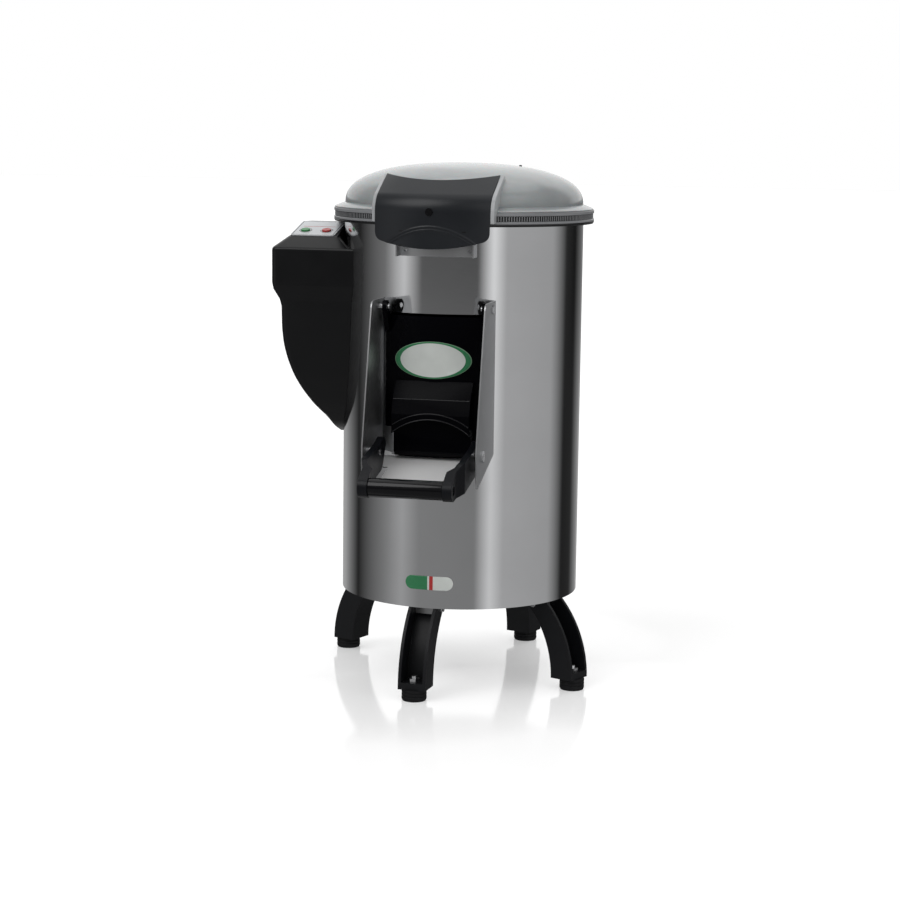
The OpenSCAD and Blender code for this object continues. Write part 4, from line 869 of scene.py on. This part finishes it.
# Each slot is a dark patch of painted shade, not a cut.
for slot_x, slot_z in SLOT_SHADOWS:
    near_x = between(tree, axis_x, slot_x - SLOT_SHADOW_HALF[0], slot_x + SLOT_SHADOW_HALF[0])
    near_z = between(tree, axis_z, slot_z - SLOT_SHADOW_HALF[1], slot_z + SLOT_SHADOW_HALF[1])
    painted(HANDLE_PLASTIC, scalar(tree, "MULTIPLY", near_x, near_z), (0.004, 0.004, 0.004))
handle = placed("handle_moulding", handle_mesh, HANDLE_PLASTIC, "lid", "handle_plastic",
                "lid_handle")
wall = handle.modifiers.new("wall", "SOLIDIFY")
wall.thickness = HANDLE_T * MM
wall.offset = -1
rounded_edges(handle, HANDLE_ROUND, 3, HANDLE_SHARP)
dress(DARK_SCREW, "lid_screws")

# ---- Handle boss -------------------------------------------------------------
# A pale wall beside each end of the handle carries it on the rim and the dome. Its
# outer edge follows the handle's bend and its inner edge the lid below.

BOSS_X = (91.8, 97.5)
BOSS_FOOT = 752.0
BOSS_SEAT = 0.6
BOSS_RISE = (752.0, 770.0, 792.0, 812.0, 826.0)
BOSS_DEPTH = (13.0, 16.0, 25.0, 15.0, 9.0)
BOSS_ROUND = 1.2

# Each level has four corners, set square to the handle's path: two at the seat
# under the handle and two at the wall's depth.
boss_s = np.linspace(np.interp(BOSS_FOOT, path_z, path_s), high_s[0, 0], 48)
boss_path = np.stack([np.interp(boss_s, path_s, path_reach),
                      np.interp(boss_s, path_s, path_z)], -1)
heading = np.gradient(boss_path, axis=0)
heading /= np.linalg.norm(heading, axis=1, keepdims=True)
inward = np.stack([-heading[:, 1], heading[:, 0]], -1)
boss_deep = np.interp(boss_path[:, 1], BOSS_RISE, BOSS_DEPTH)[:, None]
boss_meshes = []
for side_x in (-1, 1):
    corners = []
    for boss_x, offset in ((BOSS_X[0], BOSS_SEAT), (BOSS_X[1], BOSS_SEAT),
                           (BOSS_X[1], boss_deep), (BOSS_X[0], boss_deep)):
        at_reach, at_z = (boss_path + inward * offset).T
        corners.append(np.stack([0 * at_z + side_x * boss_x, front_y(at_reach, boss_x), at_z],
                                -1))
    boss_grid = turned(np.stack(corners, 1), HANDLE_TURN)
    boss_meshes.append(surface("boss", boss_grid, caps=True))
BOSS_PLASTIC = moulded("boss_plastic", (0.40, 0.41, 0.42), (0.10, 0.16), bump=0.02,
                       specular=0.8)
boss = placed("handle_boss_mouldings", joined("handle_boss_mouldings", boss_meshes),
              BOSS_PLASTIC, "lid", "dome_plastic", "handle_boss")
rounded_edges(boss, BOSS_ROUND, 3, 50)

# ---- Rear hinge --------------------------------------------------------------
# Two folded arms are screwed to the dome and turn on pins between the ears of a
# bracket that is welded to the drum.

HINGE_ARM_ROUND = 0.8
HINGE_BRACKET_ROUND = 0.6
softened("lid_hinge_straps", "lid_hinge_arms", HINGE_ARM_ROUND, SHEET_STEEL, "lid",
         "sheet_steel")
softened("rear_hinge_bracket", "hinge_bracket", HINGE_BRACKET_ROUND, SHEET_STEEL, "root",
         "sheet_steel")
dress(TURNED_STEEL, "hinge_pins")

# ---- Catch bracket -----------------------------------------------------------
# A bright folded plate under the lid handle, with two ears that hold the lid's
# edge and a hole near each end.

softened("catch_plate", "catch_bracket", SHEET_ROUND, SHEET_STEEL, "root", "sheet_steel")

# ---- Badge places ------------------------------------------------------------
# A thin domed oval on the door, white with a green border, and a capsule at the
# drum's foot with a green, a red and a white field. Both are printed aluminium.

DRUM_R = 195.0
PLATE_WHITE = (0.66, 0.69, 0.66)
PLATE_GREEN = (0.03, 0.20, 0.08)
PLATE_EDGE = (0.16, 0.30, 0.18)
PLATE_RED = (0.45, 0.03, 0.03)
OVAL_X = -4.0
OVAL_Z = 538.0
OVAL_HALF = (62.0, 29.2)
OVAL_FIELD = (52.5, 26.6)
OVAL_EDGE = 0.975  # share of the oval where its bent edge begins
OVAL_SEAT = 200.4
OVAL_SHARE = (0, 0.3, 0.6, 0.86, 0.93, 0.98, 1.0, 1.0)
OVAL_RISE = (1.5, 1.45, 1.3, 1.1, 1.5, 1.4, 0.9, 0)
CAPSULE_HALF = 28.0
CAPSULE_R = 11.0
CAPSULE_Z = 182.0
CAPSULE_SEAT = DRUM_R + 0.05
CAPSULE_TURN = math.radians(-2)
CAPSULE_SHARE = (0, 0.25, 0.5, 0.75, 0.9, 0.97, 1.0, 1.0)
CAPSULE_RISE = (1.2, 1.2, 1.2, 1.2, 1.2, 1.1, 0.8, 0)
GREEN_END = -2.0
RED_STRIPE = (1.0, 7.0)


def plate_grid(outline_x, outline_z, centre_x, centre_z, seat, shares, rises):
    """Plate bent round the axis, from its centre out: x and z are the centre and a share of
    the outline, and y lies on a cylinder as large as the seat and that share's rise."""
    share, rise = np.array(shares)[:, None], np.array(rises)[:, None]
    plate_x = centre_x + share * outline_x[None, :]
    return np.stack([plate_x, front_y(seat + rise, plate_x),
                     centre_z + share * outline_z[None, :]], -1)


def ellipse_radius(tree, x, z, half_x, half_z):
    """1 on an ellipse with the half sizes in millimetres, and less inside it:
    sqrt((x / half_x)^2 + (z / half_z)^2)."""
    return reach_of(tree, scalar(tree, "MULTIPLY", x, 1 / (half_x * MM)),
                    scalar(tree, "MULTIPLY", z, 1 / (half_z * MM)))


around = np.radians(np.linspace(0, 360, 96, endpoint=False))
oval_grid = plate_grid(OVAL_HALF[0] * np.cos(around), OVAL_HALF[1] * np.sin(around),
                       OVAL_X, OVAL_Z, OVAL_SEAT, OVAL_SHARE, OVAL_RISE)
DOOR_PLATE = moulded("door_plate", PLATE_WHITE, (0.2, 0.28), bump=0.01)
tree = DOOR_PLATE.node_tree
axis_x, axis_y, axis_z = object_axes(tree)
from_x = scalar(tree, "SUBTRACT", axis_x, OVAL_X * MM)
from_z = scalar(tree, "SUBTRACT", axis_z, OVAL_Z * MM)
for halves, limit, colour in ((OVAL_FIELD, 1.0, PLATE_GREEN), (OVAL_HALF, OVAL_EDGE, PLATE_EDGE)):
    outside = scalar(tree, "GREATER_THAN", ellipse_radius(tree, from_x, from_z, *halves), limit)
    painted(DOOR_PLATE, outside, colour)
placed("door_oval_plate", surface("door_oval_plate", oval_grid), DOOR_PLATE, "door",
       "plate_face", "door_badge")

# The capsule's outline: a half circle, a straight side, and the same again.
straight = np.linspace(1, -1, 21)[1:-1] * CAPSULE_HALF
half_turn = np.radians(np.linspace(-90, 90, 33))
capsule_x = np.concatenate([CAPSULE_HALF + CAPSULE_R * np.cos(half_turn), straight])
capsule_z = np.concatenate([CAPSULE_R * np.sin(half_turn), 0 * straight + CAPSULE_R])
capsule_grid = plate_grid(np.concatenate([capsule_x, -capsule_x]),
                          np.concatenate([capsule_z, -capsule_z]),
                          0.0, CAPSULE_Z, CAPSULE_SEAT, CAPSULE_SHARE, CAPSULE_RISE)
BODY_PLATE = moulded("body_plate", PLATE_WHITE, (0.2, 0.28), bump=0.01)
tree = BODY_PLATE.node_tree
axis_x, axis_y, axis_z = object_axes(tree)
beside = scalar(tree, "SUBTRACT", axis_x, DRUM_R * math.sin(CAPSULE_TURN) * MM)
painted(BODY_PLATE, scalar(tree, "LESS_THAN", beside, GREEN_END * MM), PLATE_GREEN)
painted(BODY_PLATE, between(tree, beside, *RED_STRIPE), PLATE_RED)
placed("body_capsule_plate", surface("body_capsule_plate", turned(capsule_grid, CAPSULE_TURN)),
       BODY_PLATE, "root", "plate_face", "body_badge")

# ---- Control box -------------------------------------------------------------
# A deep satin black moulding that hugs the drum and narrows to a fin below. Its
# shoulder is bevelled and its sloping top carries the switch panel.

BOX_SEAT = DRUM_R + 0.2
BOX_TOP = 741.0
TOP_ROUND = 3.0
CORNER_ROUND = (0.1, 9.0)  # smallest and largest
NECK_RISE = (702.0, 705.0, 714.0, 741.0)
NECK_REACH = (140.0, 178.0, 189.0, 193.5)

# Three outlines of reach and height: outer side, front and back.
outer_side = np.concatenate([
    filleted([(199, 397), (209, 421), (230, 446), (248, 471), (261, 495), (271, 521),
              (277, 547), (279, 573), (279, 590)], 160, 6),
    filleted([(279, 592), (279, 607), (282, 619), (291, 635), (293, 647), (293, 702),
              (270, 723), (269.4, BOX_TOP)], 7, 4)])
front_side = np.concatenate([
    filleted([(31, 397), (59, 409), (89, 442), (102, 492), (109, 562), (111, 590)], 120, 6),
    filleted([(111.2, 592), (113, 618), (119, 642), (119, 702), (88, 720.8), (10, BOX_TOP)],
             6, 4)])
back_side = filleted([(27, 397), (8, 411), (-6, 492), (-18, 582), (-18, BOX_TOP)], 12, 4)
levels = np.unique(np.concatenate([
    outer_side[:, 1], front_side[:, 1], back_side[:, 1],
    np.linspace(BOX_TOP - TOP_ROUND, BOX_TOP, 6)]).round(3))[:, None]
into_round = np.clip(levels - (BOX_TOP - TOP_ROUND), 0, TOP_ROUND)
lip = TOP_ROUND - np.sqrt(TOP_ROUND ** 2 - into_round ** 2)
outer = np.interp(levels, outer_side[:, 1], outer_side[:, 0]) - lip
front = np.interp(levels, front_side[:, 1], front_side[:, 0])
back = -np.interp(levels, back_side[:, 1], back_side[:, 0]) - lip
neck = np.interp(levels, NECK_RISE, NECK_REACH) + lip


def drum_side(y):
    """Reach of the box's inner side at y: the drum, or the neck where that stands off it."""
    return np.maximum(neck, np.sqrt(BOX_SEAT ** 2 - y ** 2))


# Each level is one ring: along the front, round a corner, along the outer side,
# round a corner, along the back, and home along the drum.
inner_front, inner_back = drum_side(front), drum_side(back)
corner = np.minimum((outer - np.maximum(inner_front, inner_back)) / 2.2, (front + back) / 2.2)
corner = np.clip(corner, *CORNER_ROUND)
t = np.linspace(0, 1, 20, endpoint=False)[None, :]
quarter = np.radians(np.linspace(0, 90, 9, endpoint=False))[None, :]
home_y = back + (-front - back) * t
ring_x = np.concatenate([
    -(inner_front + (outer - corner - inner_front) * t),
    -(outer - corner) - corner * np.sin(quarter),
    -outer + 0 * t,
    -(outer - corner) - corner * np.cos(quarter),
    -(outer - corner) + (outer - corner - inner_back) * t,
    -drum_side(home_y)], 1)
ring_y = np.concatenate([
    -front + 0 * t,
    -(front - corner) - corner * np.cos(quarter),
    -(front - corner) + (front + back - 2 * corner) * t,
    (back - corner) + corner * np.sin(quarter),
    back + 0 * t,
    home_y], 1)
box_grid = np.stack([ring_x, ring_y, np.broadcast_to(levels, ring_x.shape)], -1)
BOX_PLASTIC = moulded("box_plastic", (0.0022, 0.0024, 0.0032), (0.30, 0.42), specular=0.34)
placed("control_box_moulding", surface("control_box_moulding", box_grid, caps=True, sharp=30),
       BOX_PLASTIC, "root", "box_plastic", "control_box")
dress(BLOCK_PLASTIC, "switch_block", "cable_gland")

# ---- Switch panel ------------------------------------------------------------
# A silver film with a thin grey border, a red line and a dark ring around each
# push button. The green button starts the machine and the red one stops it.

PANEL_X = -233.0
PANEL_HALF = 37.0
PANEL_FRONT = -88.0
PANEL_BACK = -12.5
BORDER = (2.0, 3.4)  # from the film's edge
LINE = (45.0, 47.0)  # from its front edge
LINE_END = 10.0      # from its sides
BUTTON_XY = ((-250.8, -62.3), (-215.2, -62.3))
RING = (9.2, 10.6)
CAP_ROUND = 0.8

PANEL_FILM = moulded("panel_film", (0.62, 0.64, 0.66), (0.26, 0.34), bump=0.01)
tree = PANEL_FILM.node_tree
axis_x, axis_y, axis_z = object_axes(tree)
from_middle = scalar(tree, "ABSOLUTE", scalar(tree, "SUBTRACT", axis_x, PANEL_X * MM))
from_side = scalar(tree, "SUBTRACT", PANEL_HALF * MM, from_middle)
from_front = scalar(tree, "SUBTRACT", axis_y, PANEL_FRONT * MM)
from_back = scalar(tree, "SUBTRACT", PANEL_BACK * MM, axis_y)
margin = scalar(tree, "MINIMUM", from_side, scalar(tree, "MINIMUM", from_front, from_back))
painted(PANEL_FILM, between(tree, margin, *BORDER), (0.05, 0.05, 0.055))
line = scalar(tree, "MULTIPLY", between(tree, from_front, *LINE),
              scalar(tree, "GREATER_THAN", from_side, LINE_END * MM))
painted(PANEL_FILM, line, (0.42, 0.02, 0.02))
for button_x, button_y in BUTTON_XY:
    from_button = reach_of(tree, scalar(tree, "SUBTRACT", axis_x, button_x * MM),
                           scalar(tree, "SUBTRACT", axis_y, button_y * MM))
    painted(PANEL_FILM, between(tree, from_button, *RING), (0.03, 0.03, 0.033))
dress(PANEL_FILM, "control_panel")
GREEN_PLASTIC = moulded("green_plastic", (0.02, 0.24, 0.06), (0.22, 0.3), bump=0.02)
RED_PLASTIC = moulded("red_plastic", (0.46, 0.02, 0.015), (0.22, 0.3), bump=0.02)
softened("start_cap", "start_button", CAP_ROUND, GREEN_PLASTIC, "start_button", "green_button")
softened("stop_cap", "stop_button", CAP_ROUND, RED_PLASTIC, "stop_button", "red_button")
